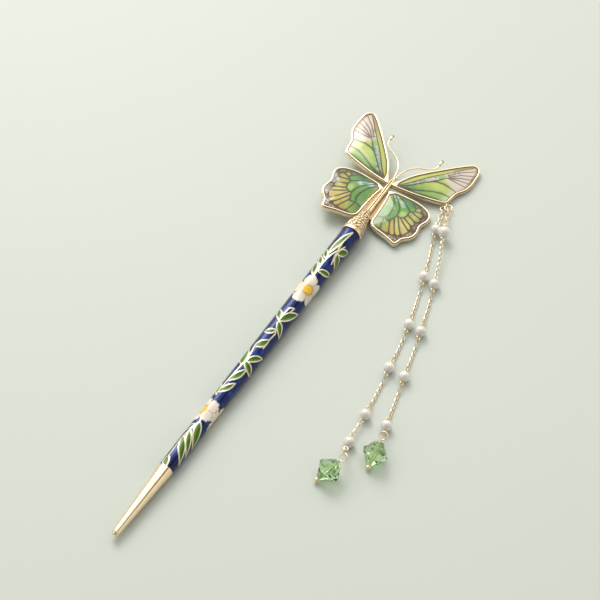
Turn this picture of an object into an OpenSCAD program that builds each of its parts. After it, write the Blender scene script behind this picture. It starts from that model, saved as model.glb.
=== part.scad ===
// Buyao hairpin lying on a table: a tapered enamelled stick with a metal point, a cast butterfly with
// four enamelled wings on a collar at its head, and two strands of pearls that end in cut glass drops.
// X runs along the stick towards the butterfly, and the table is the plane z = 0.

/* [Stick] */
// Length of the enamelled shaft
shaft_l = 118; // [90:1:150]
// Radius of the shaft where it enters the collar
shaft_top_r = 3.5; // [3.2:0.1:4.4]
// Radius of the shaft at the metal point
shaft_low_r = 2.7; // [2.4:0.1:3.1]
// Radius of the tenon that the collar holds
tenon_r = 2.4; // [1.8:0.1:2.7]
// Length of the tenon
tenon_l = 5.5; // [4:0.5:7]
// Length of the metal point
tip_l = 29.5; // [20:0.5:45]
// Radius of the rounded end of the point
tip_end_r = 1.3; // [1:0.1:2.1]
// Radius of the spigot that holds the point in the shaft
spigot_r = 1.4; // [1:0.1:1.8]
// Length of the spigot
spigot_l = 6; // [4:0.5:10]
// Clearance of glued joints and of enamel in its tray
fit = 0.06; // [0.04:0.01:0.1]

/* [Collar] */
// Length of the collar in front of the shaft
collar_l = 12; // [10:0.5:14]
// How far the lip reaches back over the shaft
lip_l = 0.8; // [0.5:0.1:1.5]
// Wall of the lip around the shaft
lip_wall = 0.34; // [0.3:0.02:0.6]

/* [Body] */
// Distance from the collar's mouth to the front of the head
body_l = 31; // [28:0.5:34]
// Radius of the slender body
body_r = 1.05; // [0.9:0.05:1.3]
// Width of the groove along the back
groove_w = 0.36; // [0.2:0.02:0.5]
// Depth of that groove
groove_d = 0.42; // [0.2:0.02:0.6]
// Thickness of the web between the hind wings
web_t = 0.8; // [0.6:0.1:1.2]
// How far the web reaches into each hind wing's rim
web_lap = 0.3; // [0.2:0.05:0.5]

/* [Wings] */
// Distance from the front of the head back to the forewings' root
head_l = 4.6; // [4:0.1:5.2]
// Length of a forewing along the stick
fore_l = 26.5; // [22:0.5:30]
// Reach of a forewing from the middle
fore_reach = 24.8; // [21:0.2:28]
// Height of the forewings' rim over the stick's axis, at the middle
fore_top = 1.2; // [0.9:0.1:1.5]
// Thickness of a forewing tray
fore_t = 1.8; // [1.6:0.1:2.2]
// How much a forewing droops, in degrees
fore_droop = 2; // [0:0.5:3]
// Distance of the hind wings' rear corner from the collar's mouth
hind_root = 4.4; // [3.9:0.1:4.8]
// Length of a hind wing along the stick
hind_l = 21.5; // [20:0.5:22]
// Reach of a hind wing from the middle
hind_reach = 19.8; // [17:0.2:22]
// Height of the hind wings' rim over the stick's axis, at the middle
hind_top = -0.2; // [-0.5:0.1:0.2]
// Thickness of a hind wing tray
hind_t = 2; // [1.7:0.1:2.3]
// How much a hind wing rises, in degrees
hind_rise = 2; // [0:0.5:3]
// Width of the rims
rim_w = 0.8; // [0.7:0.05:1]
// Width of the step outside the rim
step_w = 0.25; // [0.15:0.05:0.35]
// Height of that step below the rim
step_h = 0.5; // [0.3:0.1:0.8]
// Thickness of a tray's floor
floor_t = 0.5; // [0.4:0.1:0.7]
// How far the enamel lies below the rim at its edge
enamel_low = 0.25; // [0.1:0.05:0.4]
// Rise of the domed enamel from its edge to its middle
enamel_dome = 0.55; // [0.2:0.05:0.7]

/* [Antennae] */
// Radius of the wire of an antenna
antenna_r = 0.24; // [0.2:0.02:0.3]
// Radius of the club at its end
club_r = 0.45; // [0.35:0.05:0.6]
// Length of the club
club_l = 2.4; // [1.5:0.1:3]

/* [Rings and links] */
// Radius of the eye under the wing, to the middle of its wire
eyelet_r = 0.85; // [0.8:0.01:0.95]
// Radius of the eye's wire
eyelet_wire_r = 0.25; // [0.2:0.01:0.26]
// Radius of a jump ring, to the middle of its wire
ring_r = 1.3; // [1.2:0.05:1.5]
// Radius of a jump ring's wire
ring_wire_r = 0.2; // [0.16:0.01:0.22]
// Length of an oval link
oval_l = 3.3; // [3.1:0.02:3.5]
// Width of an oval link
oval_w = 1.7; // [1.6:0.02:1.8]
// Diameter of an oval link's wire
oval_wire = 0.4; // [0.34:0.01:0.42]
// Length of a chain link
link_l = 1.94; // [1.88:0.02:2.04]
// Width of a chain link
link_w = 1.26; // [1.22:0.01:1.32]
// Diameter of a chain link's wire
link_wire = 0.28; // [0.24:0.01:0.29]
// Clear space between linked wires
link_gap = 0.15; // [0.13:0.01:0.16]

/* [Pearls] */
// Radius of a pearl
pearl_r = 1.9; // [1.7:0.05:2.1]
// Radius of the large first pearl of the front strand
first_pearl_r = 2.2; // [1.9:0.05:2.4]
// Radius of the drilled hole
pearl_bore_r = 0.34; // [0.32:0.01:0.4]
// Radius of the wire of an eye pin
pin_r = 0.21; // [0.18:0.01:0.22]
// Radius of a pin's eyes, to the middle of the wire
eye_r = 0.68; // [0.66:0.01:0.72]

/* [Drops] */
// Diameter of a cut glass drop
drop_d = 8.5; // [7.6:0.1:9.2]
// Length of a drop
drop_l = 8.2; // [7.6:0.1:9]
// Diameter of the flat at each end of a drop
table_d = 2.4; // [1.9:0.1:3]
// Height of the polished band round a drop
girdle_h = 0.8; // [0.3:0.1:1.2]
// Facets round each half of a drop
drop_facets = 8; // [8:2:10]
// Radius of the drilled hole in a drop
drop_bore_r = 0.4; // [0.36:0.02:0.5]
// Radius of the wire of a head pin
head_pin_r = 0.22; // [0.2:0.01:0.24]
// Radius of the ball that holds a drop
ball_r = 0.95; // [0.7:0.05:1.1]
// Radius of a head pin's loop, to the middle of the wire
loop_r = 1.35; // [1.2:0.05:1.5]
// Bare wire between a drop and the loop
neck_l = 0.5; // [0.4:0.05:1]

/* [Hidden] */

// Space between a pearl or a drop and the wire beside it
bead_gap = 0.1;
// Points on each stretch between two rows of a wing's table
curve_steps = 2;
// Lowest height of a chain's middle where it lies on the table
chain_z = 0.56;
// Length of chain that comes down from a raised eye, for each millimetre of its height
fall = 4;

// Rows of a wing's outline, as shares of its length and of its reach, from the root along the front edge
ALONG = 0;
ACROSS = 1;
FORE_EDGE = [
    [0, 0.01], [0.14, 0.09], [0.31, 0.185], [0.46, 0.305], [0.61, 0.44], [0.76, 0.58], [0.9, 0.72],
    [0.98, 0.815], [1, 0.88], [0.975, 0.945], [0.905, 0.985], [0.785, 0.997], [0.665, 1], [0.585, 0.988],
    [0.51, 0.963], [0.445, 0.92], [0.37, 0.887], [0.28, 0.875], [0.205, 0.86], [0.162, 0.83],
    [0.125, 0.735], [0.088, 0.6], [0.047, 0.43], [0.017, 0.265], [-0.004, 0.1]];
HIND_EDGE = [
    [0.94, 0.045], [0.985, 0.18], [1, 0.4], [1, 0.6], [0.972, 0.77], [0.922, 0.895], [0.855, 0.975],
    [0.765, 1], [0.675, 0.985], [0.6, 0.952], [0.55, 0.943], [0.49, 0.956], [0.4, 0.97], [0.308, 0.955],
    [0.234, 0.91], [0.182, 0.85], [0.13, 0.808], [0.065, 0.79], [0.015, 0.765], [-0.004, 0.72],
    [0.015, 0.635], [0.046, 0.53], [0.07, 0.405], [0.095, 0.28], [0.145, 0.175], [0.24, 0.13],
    [0.445, 0.12], [0.68, 0.1], [0.865, 0.066]];
// Middle of each wing's dome, as the same shares
FORE_MIDDLE = [0.5, 0.58];
HIND_MIDDLE = [0.52, 0.54];
// Points of the outline left out of the enamel at the narrow root of a wing, at each end of its table
FORE_SKIP = 2;
HIND_SKIP = 2;

// Radii of the collar behind its lip, as shares of its length and of the lip's radius
COLLAR_ROWS = [[0.04, 1], [0.06, 0.95], [0.22, 0.9], [0.42, 0.76], [0.6, 0.6], [0.78, 0.45], [0.92, 0.34]];
// Radii of the body along its length, as shares of the body's length and radius
BODY_ROWS = [[0.3, 1], [0.5, 0.92], [0.68, 0.86], [0.8, 1], [0.88, 1], [0.95, 0.86], [0.99, 0.6], [1, 0.3]];
// Middle line of an antenna, as shares of a forewing's length, its reach, and heights over the axis
ANTENNA_ROUTE = [
    [0.12, 0.012, 0.2], [0.21, 0.02, 0.2], [0.33, 0.05, 0.1], [0.44, 0.12, 0], [0.51, 0.21, 0],
    [0.555, 0.31, 0], [0.6, 0.38, 0.1], [0.65, 0.412, 0.2], [0.705, 0.42, 0.3]];

// Places of the pearls and drops on the table, as chosen by hand
PLACES_A = [[-3.1, -30.9], [-24.6, -36.9], [-44.3, -40.5], [-65.4, -43.5], [-77.85, -44.7]];
PLACES_B = [[-4.3, -35.6], [-25.2, -41.9], [-45.1, -46.7], [-65.8, -51.7]];
DROP_A = [-91.8, -45.4];
DROP_B = [-78.4, -54.8];
// Ways in which the jump rings lie from their eye, the links on them run, and the drops point
RING_A = 176;
RING_B = 250;
HEADING_A = 195;
HEADING_B = 200.6;
// How far round its ring each strand's first link has slid, away from the other strand
splay = 12;
// Slope at which the pin of a strand's last pearl points up towards the raised loop
last_slope = 6;
POINT_A = 150.5;
POINT_B = 181;
// How far a chain follows the pins at its ends before it turns straight for the next pearl, and the
// same for the short stretch up to the drop
ease = 0.45;
last_ease = 0.9;
// Sideways bow of the slack in each stretch of chain, from the butterfly to the drop
BOW_A = [0.2, 0, 0, 0, 0, 0];
BOW_B = [0.2, 0, 0, 0, 0];

// The forewings start a head's length behind the front of the body
fore_root = body_l - head_l;
// The stick lies on the collar's lip and on the shaft's lower end
lip_r = shaft_top_r + fit + lip_wall;
rest_run = shaft_l;
stick_tilt = asin((lip_r - shaft_low_r) / rest_run);
function axis_z(along) = lip_r + along * tan(stick_tilt);

// The butterfly leans until the first wing edge on its right touches the table
function lean_at(along, across, bottom) =
    asin(axis_z(along) / norm([across, bottom])) - atan(bottom / across);
fore_low = fore_t - fore_top + fore_reach * sin(fore_droop);
hind_low = hind_t - hind_top - hind_reach * sin(hind_rise);
lean = min(lean_at(fore_root + 0.66 * fore_l, fore_reach, fore_low),
    lean_at(hind_root + 0.76 * hind_l, hind_reach, hind_low));

// Smooth closed curve through a list of points
function curve_at(a, b, c, d, t) =
    0.5 * (2 * b + (c - a) * t + (2 * a - 5 * b + 4 * c - d) * t * t + (3 * b - a - 3 * c + d) * t * t * t);
function closed_curve(p, n) = [
    for (i = [0:len(p) - 1]) for (k = [0:n - 1])
        curve_at(p[(i + len(p) - 1) % len(p)], p[i], p[(i + 1) % len(p)], p[(i + 2) % len(p)], k / n)];
function open_curve(p, n) = concat([
    for (i = [0:len(p) - 2]) for (k = [0:n - 1])
        curve_at(p[max(i - 1, 0)], p[i], p[i + 1], p[min(i + 2, len(p) - 1)], k / n)], [p[len(p) - 1]]);
function unit(v) = v / norm(v);
function turn_left(v) = [-v.y, v.x];

// An outline moved inwards by a width, each point along the mean of its two normals
function inset(p, w) = [
    for (i = [0:len(p) - 1]) let (
        a = unit(p[i] - p[(i + len(p) - 1) % len(p)]),
        b = unit(p[(i + 1) % len(p)] - p[i]),
        m = unit(turn_left(a) + turn_left(b)))
        p[i] + m * w / max(0.6, m * turn_left(a))];
function fore_outline() = closed_curve([
    for (r = FORE_EDGE) [fore_root + r[ALONG] * fore_l, r[ACROSS] * fore_reach]], curve_steps);
function hind_outline() = closed_curve([
    for (r = HIND_EDGE) [hind_root + r[ALONG] * hind_l, r[ACROSS] * hind_reach]], curve_steps);
// A tray's pocket stops short of the wing's narrow root
function part_of(p, skip) = [for (i = [skip:len(p) - skip]) p[i % len(p)]];
function fore_pocket() = part_of(inset(fore_outline(), rim_w), FORE_SKIP);
function hind_pocket() = part_of(inset(hind_outline(), rim_w), HIND_SKIP);

// The whole model is moved so that the middle of its box stands on the origin
front_x = fore_root + fore_l * 1.002;
back_x = -shaft_l - tip_l;
left_y = fore_reach * cos(lean);
right_y = DROP_B.y - drop_d / 2;
mid_x = (front_x + back_x) / 2;
mid_y = (left_y + right_y) / 2;
module placed() {
    translate([-mid_x, -mid_y, 0]) children();
}
// Puts a shape that is drawn round the stick's own axis where the stick lies
module on_stick() {
    placed() translate([0, 0, lip_r]) rotate([0, -stick_tilt, 0]) rotate([lean, 0, 0]) children();
}
// A solid of revolution round X, from rows of place and radius
module turned(rows) {
    rotate([0, 90, 0]) rotate_extrude($fn = 96)
        polygon(concat([[0, rows[0][0]]], [for (r = rows) [r[1], r[0]]], [[0, rows[len(rows) - 1][0]]]));
}

module shaft() {
    color("mediumblue") on_stick() difference() {
        union() {
            turned([[-shaft_l, shaft_low_r], [-fit, shaft_top_r]]);
            turned([[-1, tenon_r], [tenon_l, tenon_r]]);
        }
        turned([[-shaft_l - 1, spigot_r + fit], [-shaft_l + spigot_l + fit, spigot_r + fit]]);
    }
}

module tip() {
    // The end is a quarter round
    round_rows = [for (a = [0:15:90]) [back_x + tip_end_r * (1 - sin(a)), tip_end_r * cos(a)]];
    color("gold") on_stick() union() {
        turned(concat([for (i = [len(round_rows) - 1:-1:0]) round_rows[i]],
            [[-shaft_l - fit, shaft_low_r]]));
        turned([[-shaft_l - 1, spigot_r], [-shaft_l + spigot_l - fit, spigot_r]]);
    }
}

module collar() {
    difference() {
        turned(concat([[-lip_l, lip_r], [COLLAR_ROWS[0][0] * collar_l, lip_r]],
            [for (r = COLLAR_ROWS) [r[0] * collar_l, r[1] * lip_r]], [[collar_l, body_r * 0.9]]));
        turned([[-lip_l - 1, shaft_top_r + fit], [0, shaft_top_r + fit]]);
        turned([[-1, tenon_r + fit], [tenon_l + fit, tenon_r + fit]]);
    }
}

module body() {
    difference() {
        turned(concat([[collar_l * 0.8, body_r * 0.8]],
            [for (r = BODY_ROWS) [r[0] * body_l, r[1] * body_r]]));
        translate([collar_l, -groove_w / 2, body_r - groove_d])
            cube([body_l * 0.94 - collar_l, groove_w, groove_d + body_r]);
    }
}

// The web runs under the body between the inner edges of the hind wings, which are the last rows
module web() {
    n = len(HIND_EDGE);
    edge = [for (i = [n - 4:n - 1])
        [hind_root + HIND_EDGE[i][ALONG] * hind_l, HIND_EDGE[i][ACROSS] * hind_reach] + [1, 1] * web_lap];
    translate([0, 0, -body_r * 0.7 - web_t]) linear_extrude(web_t)
        polygon(concat(edge, [for (i = [3:-1:0]) [edge[i].x, -edge[i].y]]));
}

module tray(outline, pocket, top, thick) {
    translate([0, 0, top - thick]) difference() {
        union() {
            linear_extrude(thick - step_h) polygon(outline);
            linear_extrude(thick) polygon(inset(outline, step_w));
        }
        translate([0, 0, floor_t]) linear_extrude(thick) polygon(pocket);
    }
}

module fore_tray() {
    rotate([-fore_droop, 0, 0]) tray(fore_outline(), fore_pocket(), fore_top, fore_t);
}

module hind_tray() {
    rotate([hind_rise, 0, 0]) tray(hind_outline(), hind_pocket(), hind_top, hind_t);
}

// A tube of round wire along a list of points, closed flat at both ends
module wire_along(p, r, sides) {
    n = len(p);
    rings = [for (i = [0:n - 1]) let (
        t = unit(p[min(i + 1, n - 1)] - p[max(i - 1, 0)]),
        a = unit(cross([0, 0, 1], t)),
        b = cross(t, a))
        for (k = [0:sides - 1]) p[i] + r * (a * cos(360 * k / sides) + b * sin(360 * k / sides))];
    walls = [for (i = [0:n - 2], k = [0:sides - 1]) let (l = (k + 1) % sides)
        [i * sides + k, i * sides + l, (i + 1) * sides + l, (i + 1) * sides + k]];
    ends = [[for (k = [sides - 1:-1:0]) k], [for (k = [0:sides - 1]) (n - 1) * sides + k]];
    polyhedron(rings, [for (f = concat(walls, ends)) [for (i = [len(f) - 1:-1:0]) f[i]]]);
}

function antenna_points() = open_curve([
    for (r = ANTENNA_ROUTE) [fore_root + r.x * fore_l, r.y * fore_reach, r.z]], 2);

module antenna() {
    p = antenna_points();
    end = p[len(p) - 1];
    wire_along(p, antenna_r, 6);
    translate(end + [-0.3, 0, 0]) {
        sphere(club_r, $fn = 32);
        rotate([0, 90, 0]) cylinder(r = club_r, h = club_l, $fn = 32);
        translate([club_l, 0, 0]) sphere(club_r, $fn = 32);
    }
}

// The eye stands on edge at the rear corner of the right forewing
corner_share = [0.175, 0.845];
eyelet_way = 217;
eyelet_out = eyelet_r - 0.05;
eyelet_local = [fore_root + corner_share[0] * fore_l + eyelet_out * cos(eyelet_way),
    -corner_share[1] * fore_reach + eyelet_out * sin(eyelet_way),
    fore_top - corner_share[1] * fore_reach * sin(fore_droop) - fore_t / 2];

module eyelet() {
    translate(eyelet_local) rotate([0, 0, eyelet_way]) rotate([90, 0, 0])
        rotate_extrude($fn = 48) translate([eyelet_r, 0]) circle(eyelet_wire_r, $fn = 24);
}

module butterfly() {
    color("palegoldenrod") on_stick() union() {
        collar();
        body();
        web();
        eyelet();
        for (m = [0, 1]) mirror([0, m, 0]) {
            fore_tray();
            hind_tray();
            antenna();
        }
    }
}

// A domed filling: flat below, with rings that rise from the edge to a point over the middle
module domed(edge, middle, low, high, dome) {
    n = len(edge);
    shares = [0, 0.25, 0.6];
    rings = concat([for (p = edge) [p.x, p.y, low]],
        [for (s = shares, p = edge) let (q = p + (middle - p) * s)
            [q.x, q.y, high + dome * (1 - (1 - s) * (1 - s))]],
        [[middle.x, middle.y, high + dome]]);
    walls = [for (k = [0:len(shares) - 1], i = [0:n - 1]) let (j = (i + 1) % n)
        [k * n + i, k * n + j, (k + 1) * n + j, (k + 1) * n + i]];
    split = [for (f = walls) for (t = [[f[0], f[1], f[2]], [f[0], f[2], f[3]]]) t];
    cap = [for (i = [0:n - 1]) [len(shares) * n + i, len(shares) * n + (i + 1) % n, (len(shares) + 1) * n]];
    base = [[for (i = [n - 1:-1:0]) i]];
    polyhedron(rings, [for (f = concat(base, split, cap)) [for (i = [len(f) - 1:-1:0]) f[i]]]);
}

module enamel_fore() {
    rotate([-fore_droop, 0, 0]) domed(inset(fore_pocket(), fit),
        [fore_root + FORE_MIDDLE[0] * fore_l, FORE_MIDDLE[1] * fore_reach],
        fore_top - fore_t + floor_t + fit, fore_top - enamel_low, enamel_dome);
}

module enamel_hind() {
    rotate([hind_rise, 0, 0]) domed(inset(hind_pocket(), fit),
        [hind_root + HIND_MIDDLE[0] * hind_l, HIND_MIDDLE[1] * hind_reach],
        hind_top - hind_t + floor_t + fit, hind_top - enamel_low, enamel_dome);
}

// Where the eye lies once the butterfly leans on the table
function leaned(p) = [p.x, p.y * cos(lean) - p.z * sin(lean), p.y * sin(lean) + p.z * cos(lean)];
eyelet_p = let (q = leaned(eyelet_local))
    [q.x * cos(stick_tilt) - q.z * sin(stick_tilt), q.y,
        lip_r + q.x * sin(stick_tilt) + q.z * cos(stick_tilt)];

// One ring lies over the other in the eye
ring_step = ring_wire_r + link_gap / 2;
function way(angle) = [cos(angle), sin(angle), 0];
ring_out = ring_r - 0.05;
ring_a_p = eyelet_p + way(RING_A) * ring_out - [0, 0, ring_step];
ring_b_p = eyelet_p + way(RING_B) * ring_out + [0, 0, ring_step];

module jump_ring(p) {
    color("khaki") placed() translate(p)
        rotate_extrude($fn = 48) translate([ring_r, 0]) circle(ring_wire_r, $fn = 24);
}

// An oval link of bent wire, lying along X
module oval_link() {
    r = (oval_w - oval_wire) / 2;
    s = (oval_l - oval_w) / 2;
    for (m = [0, 180]) rotate([0, 0, m]) {
        translate([s, 0, 0]) rotate([0, 0, -90]) rotate_extrude(angle = 180, $fn = 40)
            translate([r, 0]) circle(oval_wire / 2, $fn = 20);
        translate([-s, r, 0]) rotate([0, 90, 0]) cylinder(r = oval_wire / 2, h = 2 * s, $fn = 20);
    }
}

// A chain link of the same kind, of fewer sides
module chain_link() {
    r = (link_w - link_wire) / 2;
    s = (link_l - link_w) / 2;
    n = 10;
    w = 5;
    p = [for (i = [0:n - 1], k = [0:w - 1])
        let (a = 360 * (i + 0.5) / n, b = 360 * k / w, q = r + link_wire / 2 * cos(b))
        [(cos(a) > 0.01 ? s : cos(a) < -0.01 ? -s : 0) + q * cos(a), q * sin(a), link_wire / 2 * sin(b)]];
    polyhedron(p, [for (i = [0:n - 1], k = [0:w - 1]) let (j = (i + 1) % n, m = (k + 1) % w)
        [i * w + k, i * w + m, j * w + m, j * w + k]]);
}

// Three oval links lead from one ring to the first pearl's eye and four from the other
oval_first = oval_l / 2 - oval_wire - link_gap - ring_wire_r;
oval_pitch = oval_l - 2 * oval_wire - link_gap;
oval_last = oval_l / 2 - oval_wire - link_gap - pin_r + eye_r;
function oval_count(strand) = 3 + strand;
function oval_roll(i) = i % 2 == 0 ? 90 : 0;
function oval_run(strand) = oval_first + (oval_count(strand) - 1) * oval_pitch + oval_last;
function eye_out(r) = r + bead_gap + eye_r + pin_r;

// The large first pearl of the front strand leans on that of the back strand
rings_p = [ring_a_p, ring_b_p];
headings = [HEADING_A, HEADING_B];
function pearl_radius(strand, i) = strand == 1 && i == 0 ? first_pearl_r : pearl_r;
function start_of(strand) =
    rings_p[strand] + way(headings[strand] + (strand == 0 ? -splay : splay)) * ring_r;
function first_plan(strand) = let (p = start_of(strand))
    [p.x, p.y, 0] + way(headings[strand]) * (0.98 * oval_run(strand) + eye_out(pearl_radius(strand, 0)));
lean_room = pow(pearl_r + first_pearl_r + 1.5 * bead_gap, 2) - pow(norm(first_plan(0) - first_plan(1)), 2);
first_z = [pearl_r, max(first_pearl_r, pearl_r + sqrt(max(0, lean_room)))];
function first_climb(strand) = asin((first_z[strand] - rings_p[strand].z) / oval_run(strand));
function first_way(strand) = let (c = first_climb(strand), h = headings[strand])
    [cos(h) * cos(c), sin(h) * cos(c), sin(c)];
function first_pearl(strand) = start_of(strand) + first_way(strand) * oval_run(strand)
    + way(headings[strand]) * eye_out(pearl_radius(strand, 0));

module oval_links(strand) {
    color("khaki") placed() for (i = [0:oval_count(strand) - 1])
        translate(start_of(strand) + first_way(strand) * (oval_first + i * oval_pitch))
            rotate([0, -first_climb(strand), headings[strand]]) rotate([oval_roll(i), 0, 0]) oval_link();
}

// A drop rests on its polished band and on the ball of its pin
drop_apothem = drop_d / 2 * cos(180 / drop_facets);
ball_out = drop_l / 2 + bead_gap + ball_r;
loop_out = drop_l / 2 + bead_gap + neck_l + head_pin_r + loop_r;
drop_dip = acos(ball_r / norm([drop_apothem, ball_out])) - atan(ball_out / drop_apothem);
drop_z = drop_apothem * cos(drop_dip) + girdle_h / 2 * sin(drop_dip);
function drop_way(point) = [cos(point) * cos(drop_dip), sin(point) * cos(drop_dip), -sin(drop_dip)];
function toward(p, q) = unit([q.x - p.x, q.y - p.y, 0]);

function on_table(places) = [for (p = places) [p.x, p.y, pearl_r]];
bows = [BOW_A, BOW_B];
strands = [concat([first_pearl(0)], on_table(PLACES_A)), concat([first_pearl(1)], on_table(PLACES_B))];

// The chain hooks into the drop's loop on the side of the last pearl
drops = [[DROP_A.x, DROP_A.y, drop_z], [DROP_B.x, DROP_B.y, drop_z]];
points = [POINT_A, POINT_B];
function loop_at(strand) = drops[strand] - drop_way(points[strand]) * loop_out;
function hook_at(strand) = let (
    p = strands[strand],
    c = loop_at(strand),
    w = drop_way(points[strand]),
    side = [-sin(points[strand]), cos(points[strand]), 0],
    h = toward(c, p[len(p) - 1]))
    c + loop_r * unit(w * (h * w) + side * (h * side));
hooks = [hook_at(0), hook_at(1)];

// A pin points from the piece before to the piece behind, the first one along its links
function pin_way(strand, i) = let (p = strands[strand])
    i == 0 ? way(headings[strand])
    : i == len(p) - 1 ? toward(p[i - 1], hooks[strand]) * cos(last_slope) + [0, 0, sin(last_slope)]
    : toward(p[i - 1], p[i + 1]);
ways = [for (s = [0, 1]) [for (i = [0:len(strands[s]) - 1]) pin_way(s, i)]];

// The chain between two pearls: an even curve in plan, which comes down on the table between its eyes
function blend(x) = x >= 1 ? 0 : 1 - x * x * x * (10 - 15 * x + 6 * x * x);
function height(s, l, z0, z1) =
    fall * (z0 + z1 - 2 * chain_z) > l ? z1 + (z0 - z1) * blend(s / l)
    : chain_z + (z0 - chain_z) * blend(s / (fall * (z0 - chain_z)))
        + (z1 - chain_z) * blend((l - s) / (fall * (z1 - chain_z)));
function between(e0, e1, d0, d1, soft, t) = let (l = norm(e1 - e0) * soft)
    (2 * t * t * t - 3 * t * t + 1) * e0 + (t * t * t - 2 * t * t + t) * l * d0
    + (3 * t * t - 2 * t * t * t) * e1 + (t * t * t - t * t) * l * d1;
function lying_curve(e0, e1, d0, d1, bow) = let (
    l = norm([e1.x - e0.x, e1.y - e0.y]), w = toward(e0, e1), n = 60)
    [for (i = [0:n]) let (
        t = i / n,
        q = between(e0, e1, d0, d1, ease, t),
        b = 16 * bow * pow(t * (1 - t), 2))
        [q.x - b * w.y, q.y + b * w.x, height(l * t, l, e0.z, e1.z)]];
function lengths(p) = [for (i = 0, s = 0; i < len(p); i = i + 1,
    s = i < len(p) ? s + norm(p[i] - p[i - 1]) : s) s];
function along_at(p, s, at) = [for (k = [0:2]) lookup(at, [for (i = [0:len(p) - 1]) [s[i], p[i][k]]])];

link_pitch = link_l - 2 * link_wire - link_gap;
link_in_eye = link_l / 2 - link_wire - link_gap - pin_r + eye_r;
link_in_loop = link_l / 2 - link_wire - link_gap - head_pin_r;
function last_of(strand) = len(strands[strand]) - 1;
function segment(strand, i) = let (
    p = strands[strand], w = ways[strand], end = i == last_of(strand),
    e0 = p[i] + w[i] * eye_out(pearl_radius(strand, i)),
    e1 = end ? hooks[strand] : p[i + 1] - w[i + 1] * eye_out(pearl_r),
    d1 = end ? unit(e1 - e0) : w[i + 1])
    end ? [for (k = [0:60]) between(e0, e1, w[i], d1, last_ease, k / 60)]
    : lying_curve(e0, e1, w[i], d1, bows[strand][i]);

function link_end(strand, i) = i == last_of(strand) ? link_in_loop : link_in_eye;
function link_room(strand, i, s) = s[len(s) - 1] - link_in_eye - link_end(strand, i);
function link_count(strand, i) = 1 + ceil(link_room(strand, i, lengths(segment(strand, i))) / link_pitch);
counts = [for (s = [0, 1]) [for (i = [0:last_of(s)]) link_count(s, i)]];
// Links lie turned one way and the other, and the last one of a strand stands across the drop's loop
function link_roll(strand, i, k) =
    i == last_of(strand) ? ((counts[strand][i] - 1 - k) % 2 == 0 ? 90 : 0) : (k % 2 == 0 ? 45 : -45);

module turned_to(v, roll) {
    rotate([0, -asin(v.z / norm(v)), atan2(v.y, v.x)]) rotate([roll, 0, 0]) children();
}

module chain(strand) {
    color("khaki") placed() for (i = [0:last_of(strand)]) {
        p = segment(strand, i);
        s = lengths(p);
        n = counts[strand][i];
        step = link_room(strand, i, s) / (n - 1);
        for (k = [0:n - 1]) {
            at = link_in_eye + k * step;
            translate(along_at(p, s, at))
                turned_to(along_at(p, s, at + step / 2) - along_at(p, s, at - step / 2),
                    link_roll(strand, i, k)) chain_link();
        }
    }
}

module pearl(strand, i) {
    r = pearl_radius(strand, i);
    color("snow") placed() translate(strands[strand][i]) turned_to(ways[strand][i], 0) difference() {
        rotate([0, 0, 40]) sphere(r, $fn = 64);
        rotate([0, 90, 0]) cylinder(r = pearl_bore_r, h = 3 * r, center = true, $fn = 32);
    }
}

function eye_roll(strand, i, behind) =
    behind ? link_roll(strand, i, 0) - 90
    : i == 0 ? oval_roll(oval_count(strand) - 1) - 90
    : link_roll(strand, i - 1, counts[strand][i - 1] - 1) - 90;

module eye(roll) {
    rotate([roll, 0, 0]) rotate_extrude($fn = 40) translate([eye_r, 0]) circle(pin_r, $fn = 20);
}

module eye_pin(strand, i) {
    out = eye_out(pearl_radius(strand, i));
    color("khaki") placed() translate(strands[strand][i]) turned_to(ways[strand][i], 0) union() {
        rotate([0, 90, 0]) cylinder(r = pin_r, h = 2 * (out - eye_r), center = true, $fn = 20);
        translate([-out, 0, 0]) eye(eye_roll(strand, i, false));
        translate([out, 0, 0]) eye(eye_roll(strand, i, true));
    }
}

module on_drop(strand) {
    placed() translate(drops[strand]) rotate([0, drop_dip, points[strand]]) children();
}

// A drop is cut to a flat table at each end, with one ring of facets on each side of the band
module drop(strand) {
    n = drop_facets;
    rows = [[-drop_l / 2, table_d / 2], [-girdle_h / 2, drop_d / 2], [girdle_h / 2, drop_d / 2],
        [drop_l / 2, table_d / 2]];
    p = [for (r = rows, k = [0:n - 1]) let (a = 360 * (k + 0.5) / n) [r[0], r[1] * cos(a), r[1] * sin(a)]];
    walls = [for (j = [0:len(rows) - 2], k = [0:n - 1]) let (m = (k + 1) % n)
        [j * n + k, (j + 1) * n + k, (j + 1) * n + m, j * n + m]];
    ends = [[for (k = [0:n - 1]) k], [for (k = [n - 1:-1:0]) (len(rows) - 1) * n + k]];
    color("mediumseagreen") on_drop(strand) difference() {
        polyhedron(p, concat(walls, ends));
        rotate([0, 90, 0]) cylinder(r = drop_bore_r, h = 2 * drop_l, center = true, $fn = 32);
    }
}

module head_pin(strand) {
    color("gold") on_drop(strand) union() {
        translate([ball_out, 0, 0]) sphere(ball_r, $fn = 40);
        translate([-loop_out + loop_r, 0, 0]) rotate([0, 90, 0])
            cylinder(r = head_pin_r, h = loop_out - loop_r + ball_out, $fn = 24);
        translate([-loop_out, 0, 0]) rotate_extrude($fn = 48) translate([loop_r, 0])
            circle(head_pin_r, $fn = 24);
    }
}

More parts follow.
